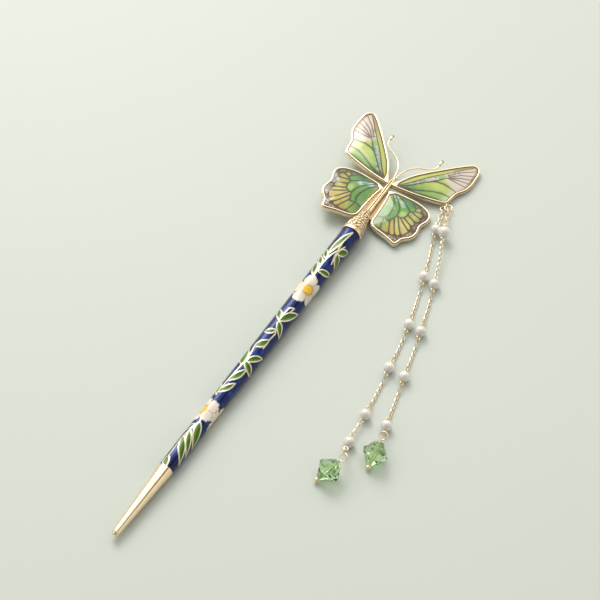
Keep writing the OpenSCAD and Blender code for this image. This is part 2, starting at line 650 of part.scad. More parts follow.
shaft();
tip();
butterfly();
color("yellowgreen") on_stick() enamel_fore();  // enamel_fore_left
color("yellowgreen") on_stick() mirror([0, 1, 0]) enamel_fore();  // enamel_fore_right
color("olivedrab") on_stick() enamel_hind();  // enamel_hind_left
color("olivedrab") on_stick() mirror([0, 1, 0]) enamel_hind();  // enamel_hind_right
jump_ring(ring_a_p);  // jump_ring_a
jump_ring(ring_b_p);  // jump_ring_b
oval_links(0);  // oval_links_a
oval_links(1);  // oval_links_b
chain(0);  // chain_a
chain(1);  // chain_b
for (i = [1:6]) {
    pearl(0, i - 1);
    eye_pin(0, i - 1);
}
for (i = [1:5]) {
    pearl(1, i - 1);
    eye_pin(1, i - 1);
}
drop(0);  // drop_a
drop(1);  // drop_b
head_pin(0);  // head_pin_a
head_pin(1);  // head_pin_b
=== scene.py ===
from math import cos, hypot, pi, radians, sin

import bpy
import numpy as np
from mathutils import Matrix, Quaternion, Vector


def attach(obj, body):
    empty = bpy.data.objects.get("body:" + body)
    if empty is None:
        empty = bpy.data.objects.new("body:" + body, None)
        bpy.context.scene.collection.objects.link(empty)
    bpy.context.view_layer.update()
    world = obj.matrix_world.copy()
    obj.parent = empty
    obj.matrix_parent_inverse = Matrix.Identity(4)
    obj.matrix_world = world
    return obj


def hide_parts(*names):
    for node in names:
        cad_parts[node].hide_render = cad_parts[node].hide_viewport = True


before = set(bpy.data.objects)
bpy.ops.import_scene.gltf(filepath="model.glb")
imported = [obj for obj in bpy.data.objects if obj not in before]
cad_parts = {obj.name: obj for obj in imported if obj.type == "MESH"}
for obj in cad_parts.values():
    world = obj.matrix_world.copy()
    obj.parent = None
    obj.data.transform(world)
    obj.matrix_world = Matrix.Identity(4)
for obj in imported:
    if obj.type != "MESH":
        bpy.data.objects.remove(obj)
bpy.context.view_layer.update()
bpy.ops.object.select_all(action="DESELECT")


# The shaft of the stick: a tapered metal core under cobalt enamel. Leaves, vines and two flowers are
# drawn on it in flat gold wire, filled with green and white enamel, and everything is ground flush
# and polished. It is glued into the collar at its thick end and carries the metal point at the other.
SHAFT_LENGTH = 118.0  # lengths are in millimetres and angles in degrees, here and below
SHAFT_TOP_R, SHAFT_LOW_R = 3.5, 2.7
SHAFT_RINGS, SHAFT_SIDES = 620, 132
TOP_GAP, LOW_GAP = 0.2, 0.02  # from the butterfly's and the point's own start
SWELL_AT, SWELL_HEIGHT, SWELL_HALF = -1.5, 0.1, 0.45
STICK_LEAN, STICK_TILT, STICK_HEIGHT = 6.69398, 0.582679, 3.9
MODEL_MIDDLE = (-47.2735, -17.2095)
SEAM_WELD = 1e-7  # in metres


def as_it_lies(points):
    """Points in millimetres round the stick's own axis, moved to where the stick lies, in metres."""
    x, y, z = np.moveaxis(np.asarray(points, float), -1, 0)
    lean, tilt = radians(STICK_LEAN), radians(STICK_TILT)
    y, z = y * cos(lean) - z * sin(lean), y * sin(lean) + z * cos(lean)
    x, z = x * cos(tilt) - z * sin(tilt), x * sin(tilt) + z * cos(tilt)
    return np.stack([x - MODEL_MIDDLE[0], y - MODEL_MIDDLE[1], z + STICK_HEIGHT], -1) / 1000


def turned(x, r, turn):
    """Points round the stick's axis: how far along it, how far out, and the turn in radians."""
    x, r, turn = np.broadcast_arrays(x, r, turn)
    return np.stack([x, r * np.cos(turn), r * np.sin(turn)], -1)


def end_points(rows, marks):
    """The rows with one more at either end, drawn together on the axis, and their marks."""
    axis = np.array([1, 0, 0])
    rows = np.concatenate([rows[:1] * axis, rows, rows[-1:] * axis])
    return rows, {mark: np.concatenate([v[:1], v, v[-1:]]) for mark, v in marks.items()}


def skin(name, rows, marks, paint=None):
    """A grid laid along closed rows of points, with its seam and its end points welded."""
    down, around = rows.shape[:2]
    bpy.ops.object.select_all(action="DESELECT")
    bpy.ops.mesh.primitive_grid_add(x_subdivisions=around, y_subdivisions=down - 1, size=0.1)
    piece = bpy.context.object
    piece.name = piece.data.name = name

    def on_grid(values):
        """Values for each vertex of the grid, whose last column lies on its first."""
        return np.concatenate([values, values[:, :1]], 1).astype(np.float32).ravel()

    piece.data.vertices.foreach_set("co", on_grid(rows))
    for mark, values in marks.items():
        layer = piece.data.attributes.new(mark, "FLOAT", "POINT")
        layer.data.foreach_set("value", on_grid(values))
    if paint is not None:
        layer = piece.data.attributes.new("paint", "FLOAT_COLOR", "POINT")
        layer.data.foreach_set("color", on_grid(paint))
    bpy.ops.object.mode_set(mode="EDIT")
    bpy.ops.mesh.select_all(action="SELECT")
    bpy.ops.mesh.remove_doubles(threshold=SEAM_WELD)
    bpy.ops.mesh.normals_make_consistent(inside=False)
    bpy.ops.object.mode_set(mode="OBJECT")
    return piece


def smooth(piece, angle):
    """Shades the piece smooth, apart from edges that turn by more than the angle."""
    bpy.ops.object.select_all(action="DESELECT")
    piece.select_set(True)
    bpy.context.view_layer.objects.active = piece
    bpy.ops.object.shade_smooth_by_angle(angle=radians(angle))
    return piece


def step(x, low, high):
    """A soft step from nought at low to one at high."""
    t = np.clip((x - low) / (high - low), 0, 1)
    return t * t * (3 - 2 * t)


def shaft_radius(x):
    return SHAFT_LOW_R + (x + SHAFT_LENGTH) / SHAFT_LENGTH * (SHAFT_TOP_R - SHAFT_LOW_R)


# Each point of the shaft's skin: its place along the stick and its degrees round it
X, A = np.meshgrid(
    np.linspace(-SHAFT_LENGTH + LOW_GAP, -TOP_GAP, SHAFT_RINGS),
    np.linspace(0, 360, SHAFT_SIDES, endpoint=False), indexing="ij")
drawn = {mark: np.zeros(X.shape) for mark in ("wire", "leaf", "petal", "heart", "shade")}

WIRE_HALF, WIRE_FADE = 0.2, 0.08
PETAL_WIRE_HALF = 0.1
LEAF_BELLY, LEAF_FULLNESS = 0.8, 0.85
PETAL_ROUNDNESS = 0.7
SCALLOPS, SCALLOP_ROUNDNESS = 4, 0.8
# Base and point of each leaf as places along the stick and degrees round it, half width and bend
LEAVES = [
    [(-114.4, 58), (-119.5, 96), 1.0, 0.3], [(-105.3, 54), (-114.6, 176), 1.15, 0.4],
    [(-102.2, 64), (-110.9, 178), 0.95, 0.4], [(-98.2, 91), (-107.2, 186), 1.3, 0.5],
    [(-84.8, 50), (-78.8, 118), 1.0, 0.3], [(-79.0, 62), (-72.0, 118), 1.05, 0.35],
    [(-69.6, 80), (-72.4, 182), 1.15, 0.2], [(-69.4, 86), (-64.2, 168), 1.0, -0.4],
    [(-71.0, 68), (-62.8, 20), 1.5, -0.3], [(-62.4, 62), (-57.6, 116), 1.25, 0.35],
    [(-55.4, 56), (-52.7, 112), 0.95, 0.2], [(-49.4, 90), (-53.8, 172), 1.05, 0.2],
    [(-49.0, 92), (-41.6, 172), 1.25, -0.4], [(-48.6, 84), (-43.6, 20), 0.95, 0.2],
    [(-23.4, 88), (-21.0, 180), 1.0, 0.15], [(-13.3, 120), (-18.0, 192), 1.3, 0.2],
    [(-12.9, 120), (-8.6, 184), 1.25, -0.3], [(-14.4, 71), (-2.0, 112), 0.95, -0.5],
    [(-25.6, 76), (-18.8, 20), 1.0, 0.3], [(-20.6, 76), (-16.0, 20), 0.85, 0.2],
    [(-17.0, 76), (-12.6, 20), 0.9, 0.2], [(-85.6, 47), (-79.6, 8), 0.8, 0.3],
    [(-99.6, 70), (-103.4, 14), 0.85, 0.3]]
# Middle, reach, number of petals, way of the first, depth of notches and of scallops, heart's radius
FLOWERS = [((-32.2, 112), 6.3, 5, 18, 0.4, 0.35, 1.8), ((-92.8, 40), 5.5, 5, 90, 0.34, 0.5, 1.6)]
VINES = [
    [(-119, 104), (-114.6, 58), (-105.3, 52), (-98, 88), (-96, 80)],
    [(-86, 60), (-84.8, 50), (-79, 60), (-71, 72)], [(-71, 72), (-69.5, 84), (-62.4, 62)],
    [(-61.5, 120), (-57.6, 116), (-54.4, 122), (-49.4, 90), (-46, 84)],
    [(-46.5, 92), (-44, 112), (-41.6, 118), (-42.4, 92), (-46.5, 84)],
    [(-26, 84), (-20.6, 82), (-17, 84), (-14.6, 92)],
    [(-17.9, 128), (-16.2, 120), (-14.2, 112), (-11, 114), (-8.8, 128)], [(-14.6, 92), (-12, 106), (-5, 98)]]


def flat_offset(place):
    """How far the shaft's points are from a place on it, along the stick and round it."""
    round_it = (A - place[1] + 180) % 360 - 180
    return X - place[0], shaft_radius(place[0]) * np.radians(round_it)


def flat_run(base, point):
    """The way from one place on the shaft to another, along the stick and round it."""
    return point[0] - base[0], shaft_radius(base[0]) * radians(point[1] - base[1])


def leaf_shape(base, point, half, bend):
    """Distance to a leaf's outline, negative inside, and the shares along and across it."""
    dx, da = flat_offset(base)
    run = flat_run(base, point)
    length = hypot(*run)
    along = (dx * run[0] + da * run[1]) / length**2
    t = np.clip(along, 0, 1)
    across = (da * run[0] - dx * run[1]) / length - bend * 4 * t * (1 - t)
    width = half * np.sin(pi * t**LEAF_BELLY) ** LEAF_FULLNESS
    over = np.maximum(np.abs(along - 0.5) - 0.5, 0) * length
    d = np.where(over > 0, np.hypot(over, across), np.abs(across) - width)
    return d, t, across / half


def flower_shape(middle, reach, petals, first, notch, scallop):
    """The same for a flower, with the distance from its middle and from the wires between petals."""
    dx, da = flat_offset(middle)
    out, way = np.hypot(dx, da), np.arctan2(da, dx)
    q = (way - radians(first)) * petals / (2 * pi) % 1
    edge = reach * (1 - notch + notch * np.abs(np.sin(pi * q)) ** PETAL_ROUNDNESS)
    edge = edge + scallop * (np.abs(np.sin(SCALLOPS * pi * q)) ** SCALLOP_ROUNDNESS - 0.5)
    seam = np.minimum(q, 1 - q) * 2 * pi / petals * out
    return out - edge, out, seam


def near_line(px, py, line):
    """Distance to a line through points, and how far along it the nearest place is."""
    best = np.full(px.shape, 1e9)
    share = np.zeros(px.shape)
    for i in range(len(line) - 1):
        (ax, ay), (bx, by) = line[i], line[i + 1]
        rx, ry = bx - ax, by - ay
        t = np.clip(((px - ax) * rx + (py - ay) * ry) / hypot(rx, ry) ** 2, 0, 1)
        d = np.hypot(px - ax - t * rx, py - ay - t * ry)
        share = np.where(d < best, (i + t) / (len(line) - 1), share)
        best = np.minimum(best, d)
    return best, share


def lay_wire(distance, half=WIRE_HALF):
    """Gold wire where the distance is less than half its width."""
    drawn["wire"] = np.maximum(drawn["wire"], 1 - step(distance, half, half + WIRE_FADE))


def fill_cell(inside, **values):
    """A cell filled with enamel, over what was drawn there before."""
    for mark, value in values.items():
        drawn[mark] = np.where(inside, value, drawn[mark])


# The pattern of the far side is drawn first, and that of the side seen over it
for half_turn in (185, 0):
    for vine in VINES:
        bent = [(x, a + half_turn) for x, a in vine]
        for start, end in zip(bent, bent[1:]):
            lay_wire(near_line(*flat_offset(start), [(0, 0), flat_run(start, end)])[0])
    for (bx, ba), (px, pa), half, bend in LEAVES:
        d, along, across = leaf_shape((bx, ba + half_turn), (px, pa + half_turn), half, bend)
        # Paler on one side and at the base, with a darker rib along the middle
        pale = np.clip(0.5 + 0.45 * across + 0.25 * (0.5 - along), 0, 1)
        rib = (1 - step(np.abs(across), 0.02, 0.09)) * (along > 0.1) * (along < 0.75) * 0.5
        fill_cell(d < 0, leaf=1, petal=0, heart=0, wire=0, shade=pale * (1 - rib))
        lay_wire(np.abs(d))
    for (fx, fa), reach, petals, first, notch, scallop, heart_r in FLOWERS:
        d, out, seam = flower_shape((fx, fa + half_turn), reach, petals, first, notch, scallop)
        heart = out < heart_r
        fill_cell(d < 0, leaf=0, petal=1, heart=heart * 1.0, wire=0, shade=np.clip(out / reach, 0, 1))
        between_petals = np.where((d < 0) & ~heart, seam + 0.05, 9)
        lines = np.minimum(np.minimum(np.abs(d), np.abs(out - heart_r)), between_petals)
        lay_wire(lines, PETAL_WIRE_HALF)

shaft_r = shaft_radius(X) + SWELL_HEIGHT * np.exp(-((X - SWELL_AT) / SWELL_HALF) ** 2)
shaft_rows, shaft_marks = end_points(turned(X, shaft_r, np.radians(A)), drawn)
shaft = smooth(skin("enamelled_shaft", as_it_lies(shaft_rows), shaft_marks), angle=40)


def new_finish(name, *pieces):
    """A material on these pieces: its node tree and its shader."""
    material = bpy.data.materials.new(name)
    material.use_nodes = True
    for piece in pieces:
        piece.data.materials.clear()
        piece.data.materials.append(material)
    return material.node_tree, material.node_tree.nodes["Principled BSDF"]


def add_node(tree, kind, **settings):
    node = tree.nodes.new(kind)
    for name, value in settings.items():
        setattr(node, name, value)
    return node


def set_or_link(tree, socket, value):
    """Gives a socket a number or a colour, or links another socket to it."""
    if isinstance(value, bpy.types.NodeSocket):
        tree.links.new(value, socket)
    else:
        socket.default_value = (*value, 1) if isinstance(value, tuple) else value


def read_mark(tree, name, output="Fac"):
    return add_node(tree, "ShaderNodeAttribute", attribute_name=name).outputs[output]


def mixed(tree, share, first, second):
    """A colour mix; each of the three is a socket or a value."""
    node = add_node(tree, "ShaderNodeMix", data_type="RGBA")
    for socket, value in zip((node.inputs[0], node.inputs[6], node.inputs[7]), (share, first, second)):
        set_or_link(tree, socket, value)
    return node.outputs[2]


def ramp(tree, source, stops):
    """A colour ramp read by a socket, from stops of a place and a colour."""
    node = add_node(tree, "ShaderNodeValToRGB")
    tree.links.new(source, node.inputs[0])
    while len(node.color_ramp.elements) < len(stops):
        node.color_ramp.elements.new(0.5)
    for element, (place, colour) in zip(node.color_ramp.elements, stops):
        element.position = place
        element.color = (*colour, 1)
    return node.outputs[0]


def maths(tree, operation, first, second, third=0.0):
    """A sum, product and the like, of sockets or values."""
    node = add_node(tree, "ShaderNodeMath", operation=operation)
    for socket, value in zip(node.inputs, (first, second, third)):
        set_or_link(tree, socket, value)
    return node.outputs[0]


def bumped(tree, shader, height, distance):
    """Relief too fine for the mesh; the distance is in metres."""
    bump = add_node(tree, "ShaderNodeBump")
    bump.inputs["Distance"].default_value = distance
    tree.links.new(height, bump.inputs["Height"])
    tree.links.new(bump.outputs[0], shader.inputs["Normal"])


# Fine unevenness that every fired, cast or polished surface here has, as a value round one half
uneven = bpy.data.node_groups.new("uneven surface", "ShaderNodeTree")
uneven.interface.new_socket("Size", in_out="INPUT", socket_type="NodeSocketFloat").default_value = 900
uneven.interface.new_socket("Coarse", in_out="OUTPUT", socket_type="NodeSocketFloat")
uneven.interface.new_socket("Fine", in_out="OUTPUT", socket_type="NodeSocketFloat")
uneven_in = uneven.nodes.new("NodeGroupInput")
uneven_out = uneven.nodes.new("NodeGroupOutput")
uneven_place = uneven.nodes.new("ShaderNodeTexCoord")
for output_name, factor, detail in (("Coarse", 1.0, 2.0), ("Fine", 6.0, 4.0)):
    noise = add_node(uneven, "ShaderNodeTexNoise")
    noise.inputs["Detail"].default_value = detail
    uneven.links.new(uneven_place.outputs["Object"], noise.inputs["Vector"])
    uneven.links.new(maths(uneven, "MULTIPLY", uneven_in.outputs["Size"], factor), noise.inputs["Scale"])
    uneven.links.new(noise.outputs["Fac"], uneven_out.inputs[output_name])


def unevenness(tree, size):
    """The group's coarse and fine outputs; the size is in waves to the metre."""
    node = add_node(tree, "ShaderNodeGroup", node_tree=uneven)
    node.inputs["Size"].default_value = size
    return node.outputs["Coarse"], node.outputs["Fine"]


GROUND_BLUES = [(0.32, (0.002, 0.004, 0.035)), (0.52, (0.002, 0.009, 0.09)), (0.7, (0.006, 0.045, 0.22))]
LEAF_GREENS = [(0.0, (0.018, 0.06, 0.006)), (0.35, (0.04, 0.13, 0.01)), (0.65, (0.09, 0.22, 0.022)),
               (1.0, (0.3, 0.44, 0.12))]
PETAL_WHITES = [(0.25, (0.55, 0.4, 0.28)), (0.42, (0.76, 0.66, 0.56)), (0.75, (0.84, 0.79, 0.72)),
                (1.0, (0.86, 0.84, 0.8))]
HEART_YELLOWS = [(0.35, (0.82, 0.42, 0.01)), (0.65, (0.95, 0.66, 0.08))]
LEAF_WIRE_GOLD, PETAL_WIRE_BROWN = (0.88, 0.8, 0.58), (0.42, 0.28, 0.12)
GROUND_GLOSS_TINT, PATTERN_GLOSS_TINT = (0.1, 0.3, 1.0), (0.3, 0.36, 0.24)

tree, shader = new_finish("cobalt enamel", shaft)
coarse, fine = unevenness(tree, size=350)
in_leaf, in_petal = read_mark(tree, "leaf"), read_mark(tree, "petal")
in_wire, shading = read_mark(tree, "wire"), read_mark(tree, "shade")
colour = mixed(tree, in_leaf, ramp(tree, coarse, GROUND_BLUES), ramp(tree, shading, LEAF_GREENS))
colour = mixed(tree, in_petal, colour, ramp(tree, shading, PETAL_WHITES))
colour = mixed(tree, read_mark(tree, "heart"), colour, ramp(tree, fine, HEART_YELLOWS))
colour = mixed(tree, in_wire, colour, mixed(tree, in_petal, LEAF_WIRE_GOLD, PETAL_WIRE_BROWN))
gloss_tint = mixed(tree, maths(tree, "ADD", in_leaf, in_petal), GROUND_GLOSS_TINT, PATTERN_GLOSS_TINT)
tree.links.new(colour, shader.inputs["Base Color"])
tree.links.new(gloss_tint, shader.inputs["Specular Tint"])
tree.links.new(maths(tree, "MULTIPLY", in_wire, 0.45), shader.inputs["Metallic"])
tree.links.new(maths(tree, "MULTIPLY_ADD", in_wire, 0.06, 0.24), shader.inputs["Roughness"])
shader.inputs["Specular IOR Level"].default_value = 0.5
shader.inputs["Coat Weight"].default_value = 0.35
shader.inputs["Coat Roughness"].default_value = 0.08
bumped(tree, shader, maths(tree, "ADD", in_wire, coarse), distance=0.00002)
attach(shaft, "root")
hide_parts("shaft")


# The metal point: one tapered cone of gold-plated brass with a small round end. It is turned,
# plated and polished, and its spigot is glued into the shaft.
TIP_LENGTH, TIP_END_R, TIP_CHAMFER = 29.5, 1.3, 0.08
TIP_RINGS, TIP_END_RINGS, TIP_SIDES = 60, 9, 96
tip_start, tip_end = -SHAFT_LENGTH, -SHAFT_LENGTH - TIP_LENGTH
tip_x = np.concatenate([
    [tip_start - LOW_GAP, tip_start - TIP_CHAMFER],
    np.linspace(tip_start - 0.2, tip_end + TIP_END_R, TIP_RINGS)])
tip_r = np.interp(tip_x, [tip_end + TIP_END_R, tip_start], [TIP_END_R, SHAFT_LOW_R])
tip_r[0] -= TIP_CHAMFER
end_turn = np.radians(np.linspace(10, 90, TIP_END_RINGS))
tip_x = np.concatenate([tip_x[:1], tip_x, tip_end + TIP_END_R * (1 - np.sin(end_turn))])
tip_r = np.concatenate([[0], tip_r, TIP_END_R * np.cos(end_turn)])
tip_turn = np.radians(np.linspace(0, 360, TIP_SIDES, endpoint=False))
tip_rows = turned(tip_x[:, None], tip_r[:, None], tip_turn)
point = smooth(skin("metal_point", as_it_lies(tip_rows), {}), angle=40)


def drift_of_colour(tree, shader, source, first, second):
    """A base colour that drifts between two over the surface."""
    tree.links.new(ramp(tree, source, [(0.3, first), (0.7, second)]), shader.inputs["Base Color"])


def drift_of_gloss(tree, shader, source, low, high):
    """A roughness that drifts between two over the surface."""
    tree.links.new(ramp(tree, source, [(0.3, (low,) * 3), (0.7, (high,) * 3)]), shader.inputs["Roughness"])


def plated(name, pieces, grain, colours, gloss, coarse_waves=False):
    """Gold plating on brass, nearly even in colour and gloss, over very low waves of the metal."""
    tree, shader = new_finish(name, *pieces)
    coarse, fine = unevenness(tree, grain)
    drift_of_colour(tree, shader, coarse, *colours)
    drift_of_gloss(tree, shader, fine, *gloss)
    shader.inputs["Metallic"].default_value = 1.0
    bumped(tree, shader, coarse if coarse_waves else fine, distance=0.000004)


plated("polished gilt", [point], grain=500,
       colours=((0.92, 0.75, 0.52), (0.97, 0.84, 0.63)), gloss=(0.12, 0.18), coarse_waves=True)
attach(point, "root")
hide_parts("tip")


# The four wing trays: cast in one with the butterfly, of brass plated pale gold. Each is a shallow
# tray with a rounded rim and a lower step outside it, which shows as a double contour.
FORE_ROOT, FORE_LENGTH, FORE_REACH, FORE_TOP, FORE_THICK, FORE_DROOP = 26.4, 26.5, 24.8, 1.2, 1.8, 2.0
HIND_ROOT, HIND_LENGTH, HIND_REACH, HIND_TOP, HIND_THICK, HIND_RISE = 4.4, 21.5, 19.8, -0.2, 2.0, 2.0
RIM_WIDTH = 0.8
TRAY_FLOOR = 0.55  # below the rim
OUTLINE_STEPS = 8
FORE_EDGE = [
    (0, 0.01), (0.14, 0.09), (0.31, 0.185), (0.46, 0.305), (0.61, 0.44), (0.76, 0.58), (0.9, 0.72),
    (0.98, 0.815), (1, 0.88), (0.975, 0.945), (0.905, 0.985), (0.785, 0.997), (0.665, 1), (0.585, 0.988),
    (0.51, 0.963), (0.445, 0.92), (0.37, 0.887), (0.28, 0.875), (0.205, 0.86), (0.162, 0.83),
    (0.125, 0.735), (0.088, 0.6), (0.047, 0.43), (0.017, 0.265), (-0.004, 0.1)]
HIND_EDGE = [
    (0.94, 0.045), (0.985, 0.18), (1, 0.4), (1, 0.6), (0.972, 0.77), (0.922, 0.895), (0.855, 0.975),
    (0.765, 1), (0.675, 0.985), (0.6, 0.952), (0.55, 0.943), (0.49, 0.956), (0.4, 0.97), (0.308, 0.955),
    (0.234, 0.91), (0.182, 0.85), (0.13, 0.808), (0.065, 0.79), (0.015, 0.765), (-0.004, 0.72),
    (0.015, 0.635), (0.046, 0.53), (0.07, 0.405), (0.095, 0.28), (0.145, 0.175), (0.24, 0.13),
    (0.445, 0.12), (0.68, 0.1), (0.865, 0.066)]
# Distance in from the outline, depth below the rim, and whether that depth is a share of the thickness
RIM_SECTION = [
    (0.6, 1.0, True), (0.12, 1.0, True), (0.03, 0.97, True), (0, 0.9, True), (0, 0.64, False),
    (0.02, 0.55, False), (0.08, 0.5, False), (0.17, 0.5, False), (0.21, 0.53, False), (0.25, 0.46, False),
    (0.25, 0.2, False), (0.27, 0.1, False), (0.33, 0.03, False), (0.42, 0, False), (0.6, 0, False),
    (0.7, 0.03, False), (0.76, 0.1, False), (0.79, 0.22, False), (0.8, TRAY_FLOOR, False)]
# Painted shade: how dark the gilt is painted in the step outside the rim, by the section's row, and inside it
RIM_PAINTED_SHADE = {8: 0.5, 9: 0.95, 10: 0.95, 11: 0.8, 18: 0.8, 19: 0.95, 20: 0.95}
# Outline, its root, length and reach, the rim's height, thickness, swing, and the middle as shares
WINGS = {
    "fore": (FORE_EDGE, (FORE_ROOT, FORE_LENGTH, FORE_REACH), FORE_TOP, FORE_THICK, -FORE_DROOP, (0.5, 0.58)),
    "hind": (HIND_EDGE, (HIND_ROOT, HIND_LENGTH, HIND_REACH), HIND_TOP, HIND_THICK, HIND_RISE, (0.52, 0.54))}


def curve_through(rows, steps, closed=True):
    """A smooth curve through points, closed or open."""
    p = np.asarray(rows, float)
    n = len(p)
    made = []
    for i in range(n if closed else n - 1):
        a, b, c, d = (p[(i + k) % n] if closed else p[min(max(i + k, 0), n - 1)] for k in (-1, 0, 1, 2))
        for t in np.arange(steps) / steps:
            made.append(0.5 * (2 * b + (c - a) * t + (2 * a - 5 * b + 4 * c - d) * t * t
                               + (3 * b - a - 3 * c + d) * t**3))
    return np.array(made if closed else made + [p[-1]])


def moved_in(outline, width, steps):
    """The outline moved inwards; wide of the rim's outer half it runs straight across the narrow root."""
    ahead, behind = np.roll(outline, -1, 0) - outline, outline - np.roll(outline, 1, 0)
    a = behind / np.linalg.norm(behind, axis=1)[:, None]
    b = ahead / np.linalg.norm(ahead, axis=1)[:, None]
    left_a, left_b = np.stack([-a[:, 1], a[:, 0]], 1), np.stack([-b[:, 1], b[:, 0]], 1)
    m = left_a + left_b
    m /= np.linalg.norm(m, axis=1)[:, None]
    moved = outline + m * width / np.maximum(0.6, (m * left_a).sum(1))[:, None]
    if width > 0.5:
        n = len(outline)
        across = np.arange(-steps, steps + 1)
        t = (across / steps / 2 + 0.5)[:, None]
        moved[across % n] = moved[n - steps] * (1 - t) + moved[steps] * t
    return moved


def on_wing(points, swing, side):
    """Points in millimetres over a wing's own plane, moved to where that wing lies."""
    x, y, z = np.moveaxis(points, -1, 0)
    s = radians(swing)
    y, z = y * cos(s) - z * sin(s), y * sin(s) + z * cos(s)
    return as_it_lies(np.stack([x, y * side, z], -1))


def wing_outline(kind, steps):
    edge, (root, length, reach), *_ = WINGS[kind]
    return curve_through([(root + u * length, v * reach) for u, v in edge], steps)


def wing_middle(kind):
    _, (root, length, reach), _, _, _, (u, v) = WINGS[kind]
    return np.array([root + u * length, v * reach])


def flat_row(plan, height):
    return np.concatenate([plan, np.full((len(plan), 1), float(height))], 1)


new_finish("champagne gilt")
champagne = bpy.data.materials["champagne gilt"]


def join_to_butterfly(piece):
    """A piece of the one soldered butterfly gets its plating and its place in the part."""
    piece.data.materials.clear()
    piece.data.materials.append(champagne)
    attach(piece, "root")
    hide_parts("butterfly")


for kind in ("fore", "hind"):
    _, _, top, thick, swing, _ = WINGS[kind]
    outline = wing_outline(kind, OUTLINE_STEPS)
    middle = np.tile(wing_middle(kind), (len(outline), 1))
    rows = [flat_row(middle, top - thick)]
    for inward, depth, is_share in RIM_SECTION:
        height = top - (depth * thick if is_share else depth)
        rows.append(flat_row(moved_in(outline, inward, OUTLINE_STEPS), height))
    rows.append(flat_row(middle, top - TRAY_FLOOR))
    painted_shade = np.zeros((len(rows), len(outline)))
    for row, darkness in RIM_PAINTED_SHADE.items():
        painted_shade[row] = darkness
    for side, label in ((1, "left"), (-1, "right")):
        tray = skin(f"{kind}wing_tray_{label}", on_wing(np.array(rows), swing, side), dict(painted_shade=painted_shade))
        join_to_butterfly(smooth(tray, angle=50))

tree = champagne.node_tree
shader = tree.nodes["Principled BSDF"]
coarse, fine = unevenness(tree, size=450)
gilt = ramp(tree, coarse, [(0.3, (0.86, 0.7, 0.46)), (0.7, (0.95, 0.83, 0.61))])
# Painted shade: dark brown where marked, in rim steps and inner walls, between pebbles, in the groove, on the
# web and club ends
tree.links.new(mixed(tree, read_mark(tree, "painted_shade"), gilt, (0.2, 0.11, 0.04)), shader.inputs["Base Color"])
drift_of_gloss(tree, shader, fine, low=0.26, high=0.36)
shader.inputs["Metallic"].default_value = 1.0
bumped(tree, shader, fine, distance=0.00001)


# The collar: the hollow cast foot of the butterfly that takes the shaft's end. It has a smooth
# beaded lip and, behind it, a close relief of small pebbles that grow finer towards the body.
COLLAR_SHAPE = [
    (-0.5, 3.58), (-0.74, 3.6), (-0.8, 3.68), (-0.78, 3.82), (-0.68, 3.9), (-0.3, 3.9), (0.3, 3.9),
    (0.48, 3.87), (0.62, 3.74), (0.8, 3.7), (2.64, 3.5), (5.04, 2.96), (7.2, 2.34), (9.36, 1.76),
    (11.04, 1.33), (12.0, 1.02), (12.6, 0.9)]
COLLAR_RINGS, COLLAR_SIDES = 150, 200
PEBBLE_SIZE, PEBBLE_HEIGHT, PEBBLE_SINK = 1.45, 0.34, 0.255
PEBBLES_FROM, PEBBLES_TO, ROW_PITCH = 1.1, 11.5, 1.16
STRAY_ALONG, STRAY_ROUND = 0.35, 0.25
NARROWEST, WIDEST = 0.8, 1.25
PEBBLE_SEED = 7


def collar_skin():
    """The collar's rows with their pebbles, and the shade painted on each point, darkest deep between
    pebbles.
    """
    shape = np.array(COLLAR_SHAPE)
    run = np.concatenate([[0], np.cumsum(np.hypot(*np.diff(shape, axis=0).T))])
    at = np.linspace(0, run[-1], COLLAR_RINGS)
    x, r = np.interp(at, run, shape[:, 0]), np.interp(at, run, shape[:, 1])
    px, pa = np.meshgrid(x, np.linspace(0, 2 * pi, COLLAR_SIDES, endpoint=False), indexing="ij")
    pr = np.repeat(r[:, None], COLLAR_SIDES, 1)
    # Each point's distances to the nearest and second nearest pebble's middle, on the unrolled cone
    rng = np.random.default_rng(PEBBLE_SEED)
    nearest, second = np.full(px.shape, 9.0), np.full(px.shape, 9.0)
    for row, row_x in enumerate(np.arange(PEBBLES_FROM, PEBBLES_TO, ROW_PITCH)):
        count = max(5, int(2 * pi * np.interp(row_x, x, r) / PEBBLE_SIZE))
        for k in range(count):
            pebble_x = row_x + rng.uniform(-STRAY_ALONG, STRAY_ALONG)
            pebble_turn = (k + 0.5 * (row % 2) + rng.uniform(-STRAY_ROUND, STRAY_ROUND)) * 2 * pi / count
            width = rng.uniform(NARROWEST, WIDEST)
            d = np.hypot(px - pebble_x, pr * ((pa - pebble_turn + pi) % (2 * pi) - pi) * width)
            second = np.where(d < nearest, nearest, np.minimum(second, d))
            nearest = np.minimum(nearest, d)
    relief = step(second - nearest, 0.02, 0.5) * step(px, 0.85, 1.2) * (1 - 0.7 * step(px, 9.5, 12))
    worked = step(px, 0.7, 1.1)
    pr = pr - PEBBLE_SINK * worked + PEBBLE_HEIGHT * relief
    # Painted shade between the pebbles, where the relief is low
    return turned(px, pr, pa), dict(painted_shade=(1 - step(relief, 0.15, 0.7)) * worked)


collar_rows, collar_marks = end_points(*collar_skin())
join_to_butterfly(smooth(skin("collar", as_it_lies(collar_rows), collar_marks), angle=80))


